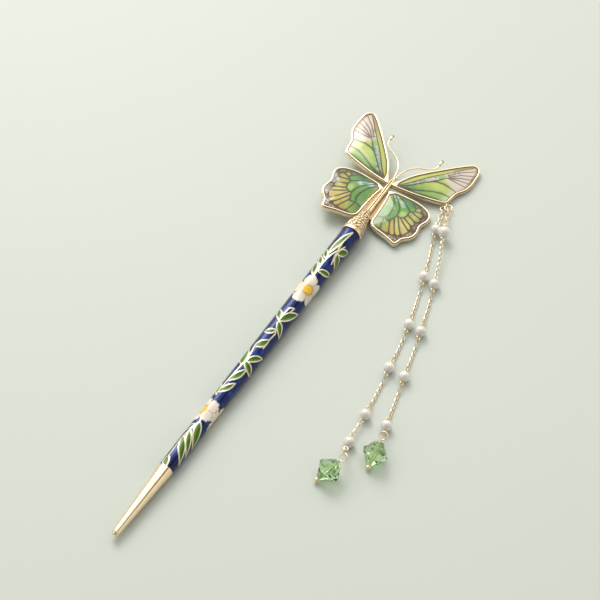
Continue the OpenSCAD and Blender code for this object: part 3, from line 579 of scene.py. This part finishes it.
# The body: a slender double ridge with a groove between, cast in one with the collar. It narrows to
# the waist, swells at the shoulders and ends in a small round head.
BODY_SHAPE = [
    (9.6, 0.8), (11, 1.02), (13, 1.05), (15.5, 0.98), (18, 0.92), (21, 0.9), (24.8, 1.03), (27.3, 1.04),
    (28.4, 0.98), (29.4, 0.86), (30.2, 0.72), (30.7, 0.5), (30.95, 0.25)]
BODY_RINGS, BODY_SIDES = 110, 72
GROOVE_DEPTH, GROOVE_HALF_ANGLE = 0.42, 15.0
NICK_DEPTH, NICK_PITCH, NICK_ROOM = 0.035, 1.1, 0.04
body_x = np.linspace(BODY_SHAPE[0][0], BODY_SHAPE[-1][0], BODY_RINGS)
body_r = np.interp(body_x, *np.array(BODY_SHAPE).T)
BX, BA = np.meshgrid(body_x, np.linspace(0, 360, BODY_SIDES, endpoint=False), indexing="ij")
groove = np.exp(-((BA - 90) / GROOVE_HALF_ANGLE) ** 2) * (1 - step(BX, 28.6, 30.4))
nicked = step(BX, 12.5, 14) * (1 - step(BX, 27, 29)) * (1 - groove)
nicks = NICK_DEPTH * np.cos(BX * 2 * pi / NICK_PITCH) * nicked - NICK_ROOM
BR = body_r[:, None] - GROOVE_DEPTH * groove + nicks
# Painted shade in the groove between the ridges
body_rows, body_marks = end_points(turned(BX, BR, np.radians(BA)), dict(painted_shade=groove * 0.95))
join_to_butterfly(smooth(skin("body", as_it_lies(body_rows), body_marks), angle=60))


# The web: a thin plate under the body, cast in one with it, that ties both hindwings' inner edges to
# the body and the collar. It lies in the shadow of the wings' roots, and that shade is painted on it.
WEB_HALF = [(9.6, 2.85), (14.0, 2.65), (19.0, 2.25), (23.0, 1.6)]  # half widths along the body
WEB_TOP, WEB_THICK, WEB_MIDDLE_X, WEB_PAINTED_SHADE = -0.74, 0.8, 16.0, 0.8
web_plan = np.array(WEB_HALF + [(x, -y) for x, y in reversed(WEB_HALF)])
web_middle = np.tile([WEB_MIDDLE_X, 0.0], (len(web_plan), 1))
web_rows = np.array([
    flat_row(web_middle, WEB_TOP - WEB_THICK), flat_row(web_plan, WEB_TOP - WEB_THICK),
    flat_row(web_plan, WEB_TOP), flat_row(web_middle, WEB_TOP)])
join_to_butterfly(skin("web", as_it_lies(web_rows), dict(painted_shade=np.full(web_rows.shape[:2], WEB_PAINTED_SHADE))))


# The antennae: round wires soldered beside the head, which bow out over the forewings' front edges
# and end in slim clubs. The left one runs on from the body's ridge, the right one from a small knob.
ANTENNA_ROUTE = [
    (0.12, 0.012, 0.2), (0.21, 0.02, 0.2), (0.33, 0.05, 0.1), (0.44, 0.12, 0), (0.51, 0.21, 0),
    (0.555, 0.31, 0), (0.6, 0.38, 0.1), (0.65, 0.412, 0.2), (0.705, 0.42, 0.3)]
ANTENNA_R, ANTENNA_SIDES, BOW_STEPS = 0.26, 12, 5
CLUB_R, CLUB_LENGTH, CLUB_RINGS = 0.6, 2.4, 12
CLUB_END = [0.98, 0.86, 0.6, 0.25]  # shares of its radius over the last rings
KNOB_PLACE, KNOB_R = (30.5, -0.75, 0.35), 0.55


def tube(path, radii, sides):
    """Rings of points along a path, with a point at each end."""
    path = np.asarray(path, float)
    ahead = np.gradient(path, axis=0)
    ahead /= np.linalg.norm(ahead, axis=1)[:, None]
    side = np.cross([0, 0, 1.0], ahead)
    side /= np.linalg.norm(side, axis=1)[:, None]
    up = np.cross(ahead, side)
    angle = np.linspace(0, 2 * pi, sides, endpoint=False)
    rings = (path[:, None] + np.asarray(radii)[:, None, None]
             * (side[:, None] * np.cos(angle)[:, None] + up[:, None] * np.sin(angle)[:, None]))
    return np.concatenate([np.repeat(path[:1, None], sides, 1), rings, np.repeat(path[-1:, None], sides, 1)])


bow = [(FORE_ROOT + u * FORE_LENGTH, v * FORE_REACH, z) for u, v, z in ANTENNA_ROUTE]
bow = curve_through(bow, BOW_STEPS, closed=False)
club_run = np.linspace(0.1, CLUB_LENGTH - 0.3 + CLUB_R, CLUB_RINGS)
antenna_path = np.concatenate([bow, bow[-1] + club_run[:, None] * [1, 0, 0]])
swell = np.clip((np.arange(len(antenna_path)) - len(bow) + 4) / 13, 0, 1)
antenna_radii = ANTENNA_R + (CLUB_R - ANTENNA_R) * step(swell, 0, 0.45)
antenna_radii[-len(CLUB_END):] = CLUB_R * np.array(CLUB_END)
for side, label in ((1, "left"), (-1, "right")):
    rows = tube(antenna_path, antenna_radii, ANTENNA_SIDES) * [1, side, 1]
    # Painted shade on the clubs' rounded ends
    club_end_shade = step(np.arange(len(rows)), len(rows) - 8, len(rows) - 5) * 0.85
    painted_shade = np.repeat(club_end_shade[:, None], ANTENNA_SIDES, 1)
    join_to_butterfly(smooth(skin(f"antenna_{label}", as_it_lies(rows), dict(painted_shade=painted_shade)), angle=60))
bpy.ops.object.select_all(action="DESELECT")
bpy.ops.mesh.primitive_uv_sphere_add(
    segments=24, ring_count=12, radius=KNOB_R / 1000, location=as_it_lies(KNOB_PLACE))
knob = bpy.context.object
knob.name = knob.data.name = "antenna_knob"
bpy.ops.object.transform_apply(location=True, rotation=True, scale=True)
join_to_butterfly(smooth(knob, angle=60))


# The eye under the right forewing: a loop of round wire that stands on edge at the tray's rear
# corner, soldered to it. Both jump rings hang in it.
EYE_R, EYE_WIRE_R, EYE_WAY, EYE_CORNER = 0.85, 0.25, 217.0, (0.175, 0.845)
EYE_SINK = 0.05
EYE_RINGS, EYE_WIRE_SIDES = 40, 14
eye_way = np.array([cos(radians(EYE_WAY)), sin(radians(EYE_WAY)), 0])
eye_left = np.array([-eye_way[1], eye_way[0], 0])
eye_corner = np.array([
    FORE_ROOT + EYE_CORNER[0] * FORE_LENGTH, -EYE_CORNER[1] * FORE_REACH,
    FORE_TOP - EYE_CORNER[1] * FORE_REACH * sin(radians(FORE_DROOP)) - FORE_THICK / 2])
ring_turn, wire_turn = np.meshgrid(
    np.linspace(0, 2 * pi, EYE_RINGS, endpoint=False), np.linspace(0, 2 * pi, EYE_WIRE_SIDES), indexing="ij")
out_of_eye = (EYE_R + EYE_WIRE_R * np.cos(wire_turn))[..., None]
eye_rows = (eye_corner + (EYE_R - EYE_SINK) * eye_way
            + out_of_eye * np.cos(ring_turn)[..., None] * eye_way
            + EYE_WIRE_R * np.sin(wire_turn)[..., None] * eye_left
            + out_of_eye * np.sin(ring_turn)[..., None] * np.array([0, 0, 1]))
join_to_butterfly(smooth(skin("wing_eye", as_it_lies(np.swapaxes(eye_rows, 0, 1)), {}), angle=60))


# The forewings' enamel: clear-coated enamel poured into the tray and domed. Dark veins fan out from
# the root over lime green, the middle cell glitters with flecks, and the tip is a pale pink white.
FORE_VEINS = [
    [(27.3, 3.2), (28.2, 8.0), (29.4, 12.6), (30.4, 16.6), (31.2, 20.6)],
    [(27.6, 3.6), (28.9, 7.8), (30.9, 11.4), (32.6, 14.4), (33.7, 17.2), (34.2, 21.2)],
    [(36.2, 11.8), (37.3, 13.6), (37.9, 16.4), (37.8, 19.0), (37.5, 22.4)],
    [(27.9, 3.6), (30.9, 7.2), (33.8, 9.6), (35.9, 11.6), (37.9, 13.4), (40.3, 15.2), (41.4, 16.6)],
    [(41.4, 16.6), (42.4, 15.5), (43.0, 14.9)],
    [(41.1, 16.5), (41.2, 19.5), (41.7, 24.2)], [(41.4, 16.6), (42.6, 19.6), (43.9, 24.2)],
    [(41.6, 16.6), (44.0, 19.8), (46.2, 24.2)], [(42.1, 16.4), (45.2, 19.2), (48.2, 23.8)],
    [(42.6, 15.8), (46.6, 18.9), (50.4, 22.9)]]
FORE_FRONT_VEIN = [
    (27.8, 2.9), (30.5, 5.2), (32.6, 6.8), (34.7, 8.3), (36.8, 9.7), (38.8, 11.3), (41.5, 13.6),
    (43.2, 15.0), (45.6, 17.0), (48.5, 19.2), (51.0, 21.3)]
FORE_FLECKS = [[(30.3, 6.4), (33.2, 8.5), (36.2, 11.2), (38.4, 12.7)], [(45.0, 17.2), (45.6, 17.6)]]
ENAMEL_GAP = 0.03
ENAMEL_UNDER, ENAMEL_EDGE, ENAMEL_DOME = 0.9, 0.25, 0.55
VEIN_FADE = 0.12


def paint_of(on_red, on_green, on_blue):
    """A colour given as it looks on a screen, as the paint that looks so under these lamps."""
    c = np.array([on_red, on_green, on_blue]) / 255
    return 0.8 * np.where(c <= 0.04045, c / 12.92, ((c + 0.055) / 1.055) ** 2.4)


def painted(ground, strokes):
    """Paint laid over a ground in turn, each a screen colour or paint and its share at each point."""
    for colour, share in strokes:
        paint = paint_of(*colour) if isinstance(colour, tuple) else colour
        ground = ground + (paint - ground) * share[..., None]
    return ground


def wing_rows(kind, steps, rings):
    """The domed enamel of a wing, from the middle of its underside to the middle of its top."""
    top = WINGS[kind][2]
    edge = moved_in(wing_outline(kind, steps), RIM_WIDTH - ENAMEL_GAP, steps)
    middle = wing_middle(kind)
    rows = [flat_row(np.tile(middle, (len(edge), 1)), top - ENAMEL_UNDER), flat_row(edge, top - ENAMEL_UNDER)]
    for s in np.linspace(0, 1, rings):
        height = top - ENAMEL_EDGE + ENAMEL_DOME * (1 - (1 - s) ** 2)
        rows.append(flat_row(edge + (middle - edge) * s, height))
    return np.array(rows), edge


def vein_mask(u, v, veins, thick, thin):
    """Where the veins lie, and how far each place is from the nearest one."""
    mask, gap = np.zeros(u.shape), np.full(u.shape, 9.0)
    for line in veins:
        d, along = near_line(u, v, line)
        half = thick + (thin - thick) * along
        mask = np.maximum(mask, 1 - step(d, half, half + VEIN_FADE))
        gap = np.minimum(gap, d)
    return mask, gap


def edge_depth(u, v, edge):
    """How far each place is from the enamel's edge."""
    return near_line(u, v, [*map(tuple, edge[::4]), tuple(edge[0])])[0]


def fleck_mask(u, v, zones, reach):
    """Where the flecks lie: round lines through the wing, and fading out at a reach from them."""
    mask = np.zeros(u.shape)
    for line in zones:
        mask = np.maximum(mask, 1 - step(near_line(u, v, line)[0], reach * 0.4, reach))
    return mask


def forewing_paint(u, v, edge):
    """Paint, veins and flecks of a forewing; u runs along the stick and v away from the body."""
    over_front = v - np.interp(u, *np.array(FORE_FRONT_VEIN).T)
    over_cell = v - np.interp(u, *np.array(FORE_VEINS[3]).T)
    veins, gap = vein_mask(u, v, FORE_VEINS, thick=0.24, thin=0.11)
    front, _ = vein_mask(u, v, [FORE_FRONT_VEIN], thick=0.2, thin=0.12)
    depth = edge_depth(u, v, edge)
    apex = step(u * 0.85 + v * 0.35, 38.4, 40.4)
    cell = step(-near_line(u, v, FORE_VEINS[3])[0] * np.sign(over_cell), 0, 0.3)
    cell = cell * step(over_front, 0, 0.3) * (1 - step(u, 41, 42.5))
    strip = 1 - step(over_front, -0.1, 0.1)
    green_line, tip_line = paint_of(32, 62, 14), paint_of(112, 84, 72)
    paint = painted(np.zeros((*u.shape, 3)) + paint_of(158, 196, 66), [
        # Lime green, deeper at the root and along the veins, and paler towards the tip
        ((124, 178, 58), 1 - step(u, 29.5, 33.5)),
        ((200, 216, 104), step(u, 33.0, 35.5) * (1 - step(v, 17, 20))),
        ((50, 90, 26), (1 - step(np.hypot(u - 27.3, v - 4), 1.5, 7.0)) * 0.95),
        ((70, 122, 32), (1 - step(gap, 0.1, 1.0)) * 0.6 * (1 - apex)),
        ((236, 234, 198), step(v, 17.4, 20.4) * 0.75),
        ((234, 218, 208), apex),
        # The grey green cell behind the front vein
        ((146, 186, 124), cell * 0.85),
        # The strip in front of that vein, olive at its edge and brown towards the tip
        ((198, 204, 86), strip),
        ((92, 120, 22), strip * (1 - step(depth, 0.25, 0.95))),
        ((172, 132, 92), strip * step(u, 43, 48) * 0.8),
        # A brown margin at the tip, a dark line against the rim, and the veins
        ((176, 134, 86), (1 - step(depth, 0.5, 1.4)) * step(u, 38, 45) * (1 - strip)),
        ((54, 44, 16), (1 - step(depth, 0.12, 0.5)) * 0.95),
        (green_line + apex[..., None] * (tip_line - green_line), veins * (0.95 - 0.2 * apex)),
        ((96, 66, 26), front * 0.9)])
    all_veins = np.maximum(veins, front)
    return paint, all_veins, fleck_mask(u, v, FORE_FLECKS, reach=1.3) * (1 - all_veins)


def poured_enamels(kind, painter, steps, rings):
    """The enamels of a pair of wings, painted alike."""
    rows, edge = wing_rows(kind, steps, rings)
    paint, veins, fleck = painter(rows[..., 0], rows[..., 1], edge)
    paint = np.concatenate([paint, np.ones((*paint.shape[:2], 1))], 2)
    pair = []
    for side, label in ((1, "left"), (-1, "right")):
        rows_as_they_lie = on_wing(rows, WINGS[kind][4], side)
        piece = skin(f"{kind}wing_enamel_{label}", rows_as_they_lie, dict(vein=veins, fleck=fleck), paint)
        pair.append(smooth(piece, angle=45))
        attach(piece, "root")
        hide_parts(f"enamel_{kind}_{label}")
    return pair


def enamel_finish(name, pieces, fleck_colours):
    """Painted colours under a clear dome, with glittering flecks where the wing is marked for them."""
    tree, shader = new_finish(name, *pieces)
    coarse, fine = unevenness(tree, size=260)
    cells = add_node(tree, "ShaderNodeTexVoronoi")
    cells.inputs["Scale"].default_value = 1050
    tree.links.new(add_node(tree, "ShaderNodeTexCoord").outputs["Object"], cells.inputs["Vector"])
    glitter = ramp(tree, cells.outputs["Color"], fleck_colours)
    vein = read_mark(tree, "vein")
    clouds = ramp(tree, coarse, [(0.35, (0, 0, 0)), (0.7, (0.1, 0.1, 0.1))])
    colour = mixed(tree, clouds, read_mark(tree, "paint", "Color"), (0.85, 0.88, 0.62))
    colour = mixed(tree, maths(tree, "MULTIPLY", vein, 0.35), colour, (0.012, 0.02, 0.006))
    colour = mixed(tree, maths(tree, "MULTIPLY", read_mark(tree, "fleck"), 0.85), colour, glitter)
    tree.links.new(colour, shader.inputs["Base Color"])
    drift_of_gloss(tree, shader, fine, low=0.06, high=0.14)
    shader.inputs["Specular IOR Level"].default_value = 0.12
    shader.inputs["Coat Weight"].default_value = 0.95
    shader.inputs["Coat Roughness"].default_value = 0.1
    bumped(tree, shader, maths(tree, "SUBTRACT", coarse, vein), distance=0.00002)


enamel_finish("forewing enamel", poured_enamels("fore", forewing_paint, steps=14, rings=60), [
    (0.0, (0.02, 0.17, 0.16)), (0.3, (0.14, 0.42, 0.42)), (0.47, (0.68, 0.74, 0.7)),
    (0.6, (0.62, 0.26, 0.14)), (0.8, (0.1, 0.33, 0.12))])


# The hindwings' enamel: as the forewings', with green cells at the root behind a scalloped line,
# long yellow and orange lobes towards the margin, and a dark brown band outside them.
HIND_VEINS = [
    [(12.0, 3.2), (12.7, 6.0), (14.8, 6.9), (17.1, 6.7), (19.5, 6.0), (21.8, 5.0), (23.6, 3.4)],
    [(12.7, 6.0), (12.1, 8.0), (13.6, 8.7), (15.6, 9.4), (17.7, 9.1), (19.5, 8.4), (21.0, 7.4), (22.6, 6.0),
     (24.2, 4.2)],
    [(15.6, 9.4), (15.5, 10.7), (16.2, 11.9), (17.7, 12.4), (19.5, 12.2), (20.4, 12.9)],
    [(20.1, 12.3), (21.8, 10.1), (23.4, 7.6), (24.6, 4.6)], [(22.4, 13.4), (23.8, 11.9), (25.2, 9.8)],
    [(20.4, 12.9), (21.2, 13.9), (22.4, 13.4), (23.6, 13.9), (25.0, 13.2)],
    [(12.6, 8.3), (10.4, 9.3), (7.7, 10.6)], [(14.2, 9.2), (12.4, 10.2), (10.2, 11.4), (8.0, 12.9)],
    [(15.4, 10.0), (13.2, 11.5), (11.2, 12.9), (8.9, 14.8)], [(15.5, 11.0), (14.0, 13.0), (12.4, 15.6)],
    [(16.2, 12.0), (15.4, 13.8), (14.2, 16.5)], [(18.2, 12.5), (17.4, 14.6), (16.6, 16.7)],
    [(20.4, 12.9), (19.6, 15.0), (19.2, 17.2)], [(21.2, 13.9), (21.6, 15.4), (22.0, 16.6)],
    [(12.7, 6.0), (10.2, 6.4), (7.6, 7.2)]]
HIND_BAND = [
    (7.8, 5.4), (7.4, 7.0), (7.2, 10.0), (7.5, 12.9), (8.7, 15.0), (10.8, 16.0), (12.4, 16.5), (14.0, 16.1),
    (15.3, 16.4), (16.8, 16.4), (18.0, 17.3), (19.6, 17.4), (20.8, 17.0), (22.0, 16.6), (22.8, 15.4),
    (24.0, 14.2), (24.8, 11.4)]
HIND_CELLS = [
    (11.8, 2.5), (25.4, 2.5), (25.4, 13.5), (23.6, 13.9), (22.4, 13.4), (21.2, 13.9), (20.4, 12.9),
    (19.5, 12.2), (17.7, 12.4), (16.2, 11.9), (15.5, 10.7), (15.6, 9.4), (13.6, 8.7), (12.1, 8.0),
    (12.7, 6.0)]
HIND_FLECKS = [[(21.2, 9.0), (22.3, 7.7)], [(22.8, 5.8), (23.4, 5.0)]]
HIND_PALE_LINE = [(11, 9), (14, 14), (20, 15)]
HIND_ROOT_END = [(25.4, 2.5), (8.2, 2.5)]
# Colours of the lobes by their direction from the middle of the wing, in degrees
LOBE_COLOURS = [
    (100, (168, 172, 62)), (115, (212, 202, 84)), (130, (222, 212, 96)),
    (143, (216, 184, 110)), (155, (214, 210, 66)), (168, (212, 160, 44)),
    (185, (150, 176, 28)), (205, (104, 148, 26)), (230, (58, 88, 36))]


def inside_of(u, v, corners):
    """One inside a closed line of corners and nought outside."""
    inside = np.zeros(u.shape, bool)
    for (ax, ay), (bx, by) in zip(corners, corners[1:] + corners[:1]):
        if ay != by:
            inside ^= ((ay > v) != (by > v)) & (u < (bx - ax) * (v - ay) / (by - ay) + ax)
    return inside * 1.0


def hindwing_paint(u, v, edge):
    """Paint, veins and flecks of a hindwing, as for a forewing."""
    direction = np.degrees(np.arctan2(v - 8.5, u - 18)) % 360
    veins, gap = vein_mask(u, v, HIND_VEINS, thick=0.2, thin=0.13)
    rim, _ = vein_mask(u, v, [HIND_BAND], thick=0.17, thin=0.17)
    depth = edge_depth(u, v, edge)
    from_band, _ = near_line(u, v, HIND_BAND)
    from_pale_line, _ = near_line(u, v, HIND_PALE_LINE)
    stops, colours = zip(*LOBE_COLOURS)
    lobes = np.array([paint_of(*colour) for colour in colours])
    lobes = np.stack([np.interp(direction, stops, lobes[:, i]) for i in range(3)], -1)
    near_band = np.clip(1 - from_band / 1.5, 0, 1) ** 2
    band = 1 - inside_of(u, v, HIND_BAND + HIND_ROOT_END)
    scallop = 0.5 + 0.5 * np.cos(np.radians(direction) * 22 + 1.5 * np.sin(np.radians(direction) * 7))
    mottle = 0.5 + 0.5 * np.sin(u * 3.1 + 1.3 * np.sin(v * 2.3)) * np.cos(v * 2.7 - 0.8 * np.sin(u * 1.9))
    crescent = band * step(scallop, 0.2, 0.6) * step(from_band, 0.25, 0.5) * step(depth, 0.5, 0.8)
    painted_gloss_patch = band * step(mottle, 0.35, 0.8) * (1 - step(u, 10.0, 13.5)) * step(from_band, 0.25, 0.7)
    cells = painted(np.zeros((*u.shape, 3)) + paint_of(98, 164, 54), [
        ((38, 112, 52), step(u, 20.5, 24.5)),
        # A painted highlight: a pale green spot near the middle of the wing
        ((176, 212, 112), 1 - step(np.hypot(u - 17.5, v - 11), 0.5, 2.4)),
        ((86, 158, 58), 1 - step(v, 4, 6.5)),
        ((44, 104, 34), (1 - step(gap, 0.1, 0.8)) * 0.6)])
    paint = painted(lobes, [
        # The lobes are paler across their middles, and brown along the veins and against the band
        ((232, 228, 170), (1 - step(np.abs(from_pale_line), 0.2, 1.6)) * 0.35),
        ((132, 108, 26), (1 - step(gap, 0.15, 0.75)) * 0.55),
        ((70, 46, 14), 1 - step(gap, 0.08 + 0.85 * near_band, 0.26 + 0.9 * near_band)),
        # The dark band, with tan crescents, and a painted reflection at its rear corner: pale mottled patches
        ((74, 50, 20), band),
        ((168, 136, 76), crescent * (0.5 + 0.5 * mottle)),
        ((222, 206, 200), painted_gloss_patch * 0.7),
        # The green cells at the root, and the yellow strip beside the body
        (cells, inside_of(u, v, HIND_CELLS)),
        ((160, 162, 66), (1 - step(v, 3.5, 4.1)) * step(u, 11, 13)),
        # A dark line against the rim, the veins and the band's inner line
        ((52, 36, 14), (1 - step(depth, 0.12, 0.5)) * 0.95),
        ((30, 52, 16), veins * 0.95),
        ((62, 40, 16), rim * 0.95)])
    all_veins = np.maximum(veins, rim)
    return paint, all_veins, fleck_mask(u, v, HIND_FLECKS, reach=1.4) * (1 - all_veins)


enamel_finish("hindwing enamel", poured_enamels("hind", hindwing_paint, steps=12, rings=56), [
    (0.0, (0.05, 0.28, 0.42)), (0.3, (0.26, 0.58, 0.68)), (0.5, (0.72, 0.76, 0.74)),
    (0.64, (0.62, 0.46, 0.06)), (0.8, (0.1, 0.36, 0.12))])


# Jump rings, oval links, fine chain and the eye pins of the pearls: bent from plated brass wire.
# They hang in one another and keep the CAD's shapes.
def cad_pieces(*beginnings):
    """The CAD's own pieces whose names begin so."""
    return [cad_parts[name] for name in sorted(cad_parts) if name.startswith(beginnings)]


plated("plated wire", cad_pieces("jump_ring", "oval_links", "pin_"), grain=600,
       colours=((0.86, 0.7, 0.47), (0.95, 0.82, 0.6)), gloss=(0.18, 0.32))
plated("chain wire", cad_pieces("chain_"), grain=900,
       colours=((0.66, 0.55, 0.37), (0.88, 0.79, 0.6)), gloss=(0.16, 0.28))


# The pearls: small round drilled pearls, white with a soft pink and grey overtone. Each sits on its
# own eye pin, which is bent into a loop at both ends. They keep the CAD's shapes.
tree, shader = new_finish("pearl", *cad_pieces("pearl_"))
coarse, fine = unevenness(tree, size=220)
# Painted reflection: each pearl is painted paler towards the edges it shows to the camera
facing = add_node(tree, "ShaderNodeLayerWeight")
facing.inputs["Blend"].default_value = 0.35
edge_reflection = maths(tree, "MULTIPLY", facing.outputs["Facing"], 0.75)
nacre = ramp(tree, coarse, [(0.3, (0.74, 0.71, 0.67)), (0.7, (0.83, 0.81, 0.77))])
tree.links.new(mixed(tree, edge_reflection, nacre, (0.95, 0.91, 0.86)), shader.inputs["Base Color"])
drift_of_gloss(tree, shader, fine, low=0.16, high=0.22)
shader.inputs["IOR"].default_value = 1.8
shader.inputs["Coat Weight"].default_value = 1.0
shader.inputs["Coat IOR"].default_value = 2.0
shader.inputs["Coat Roughness"].default_value = 0.05
bumped(tree, shader, fine, distance=0.000003)


# The drops: faceted glass of a light peridot green, drilled along their axis. Each is held by the
# ball of its gold head pin, whose wire shows through the glass and ends above it in a round loop.
tree, shader = new_finish("green glass", *cad_pieces("drop_"))
coarse, fine = unevenness(tree, size=150)
drift_of_colour(tree, shader, coarse, (0.57, 0.84, 0.46), (0.68, 0.89, 0.56))
drift_of_gloss(tree, shader, fine, low=0.01, high=0.04)
shader.inputs["Transmission Weight"].default_value = 1.0
shader.inputs["IOR"].default_value = 1.54
bumped(tree, shader, fine, distance=0.000002)
for head_pin in cad_pieces("head_pin_"):
    head_pin.data.materials.clear()
    head_pin.data.materials.append(bpy.data.materials["polished gilt"])


# The floor: one plain pale matt sheet, wide enough for every view. It lies a fiftieth of a
# millimetre under the hairpin.
FLOOR_SIZE, FLOOR_HEIGHT = 6, -0.00002
bpy.ops.object.select_all(action="DESELECT")
bpy.ops.mesh.primitive_plane_add(size=FLOOR_SIZE, location=(0, 0, FLOOR_HEIGHT))
floor = bpy.context.object
floor.name = "floor"
tree, shader = new_finish("floor", floor)
drift_of_colour(tree, shader, unevenness(tree, size=3)[0], (0.55, 0.61, 0.58), (0.57, 0.63, 0.6))
shader.inputs["Roughness"].default_value = 0.55


# The light: a window on the far side of the hairpin, a bright ceiling over it, and two pale cards
# that fill the shadows. All are square and soft, and look at the middle of the hairpin.
def softbox(name, way_to, distance, size, power, colour):
    """A square light that looks at the object from a direction."""
    bpy.ops.object.light_add(type="AREA")
    lamp = bpy.context.object
    lamp.name = name
    lamp.location = Vector(way_to).normalized() * distance
    lamp.rotation_euler = lamp.location.to_track_quat("Z", "Y").to_euler()
    lamp.data.size = size
    lamp.data.energy = power
    lamp.data.color = colour


softbox("window", (0.485, 0.56, 0.672), distance=1.1, size=0.58, power=6.7, colour=(1.0, 0.97, 0.9))
softbox("ceiling", (0.55, 0.14, 0.82), distance=1.1, size=0.95, power=3.0, colour=(1.0, 0.98, 0.95))
softbox("side_card", (-0.75, 0.35, 0.5), distance=0.9, size=0.6, power=0.8, colour=(0.9, 0.98, 1.0))
softbox("front_card", (-0.3, -0.8, 0.6), distance=1.0, size=0.8, power=0.8, colour=(1.0, 0.97, 0.93))


# The room that the metal mirrors: cream walls under a paler ceiling, a dark gap between them on one
# side, and dimmer behind the viewer.
CEILING, WALL = (0.95, 0.93, 0.87), (1.3, 1.12, 0.88)
DARK_GAP, BEHIND_VIEWER = (0.05, 0.03, 0.02), (0.3, 0.28, 0.25)
ROOM_STRENGTH = 0.75
BLACK, WHITE = (0, 0, 0), (1, 1, 1)
world = bpy.data.worlds.new("studio")
bpy.context.scene.world = world
world.use_nodes = True
sky = world.node_tree
way = sky.nodes.new("ShaderNodeTexCoord").outputs["Generated"]
split = sky.nodes.new("ShaderNodeSeparateXYZ")
sky.links.new(way, split.inputs[0])


def looking_to(direction):
    """How much a way through the room runs in a direction."""
    node = add_node(sky, "ShaderNodeVectorMath", operation="DOT_PRODUCT")
    sky.links.new(way, node.inputs[0])
    node.inputs[1].default_value = direction
    return node.outputs["Value"]


height = split.outputs["Z"]
at_wall = ramp(sky, height, [(0.5, WHITE), (0.66, BLACK)])
gap_height = ramp(sky, height, [(0.64, BLACK), (0.68, WHITE), (0.77, WHITE), (0.8, BLACK)])
gap_side = ramp(sky, looking_to((0.6, 0.8, 0.0)), [(0.06, WHITE), (0.18, BLACK)])
behind = ramp(sky, looking_to((-0.85, -0.53, 0.0)), [(0.15, BLACK), (0.5, WHITE)])
room = mixed(sky, at_wall, CEILING, WALL)
room = mixed(sky, maths(sky, "MULTIPLY", gap_height, gap_side), room, DARK_GAP)
room = mixed(sky, behind, room, BEHIND_VIEWER)
sky.links.new(room, sky.nodes["Background"].inputs["Color"])
sky.nodes["Background"].inputs["Strength"].default_value = ROOM_STRENGTH


# The camera, with the photograph's own angle and distance, a long lens and no depth of field. Its
# place and aim are in metres.
CAMERA_PLACE = Vector((-0.38483, -0.22893, 0.55418))
CAMERA_AIM = Vector((0.01434, 0.01847, 0.0))
CAMERA_ROLL = -0.618
LENS, SENSOR = 126.46, 36
bpy.ops.object.camera_add(location=CAMERA_PLACE)
camera = bpy.context.object
way_back = (CAMERA_PLACE - CAMERA_AIM).to_track_quat("Z", "Y")
camera.rotation_euler = (way_back @ Quaternion((0, 0, 1), radians(CAMERA_ROLL))).to_euler()
camera.data.lens, camera.data.sensor_width = LENS, SENSOR
camera.data.clip_start, camera.data.clip_end = 0.01, 20
camera.data.dof.use_dof = False
bpy.context.scene.camera = camera
bpy.context.scene.view_settings.view_transform = "Standard"
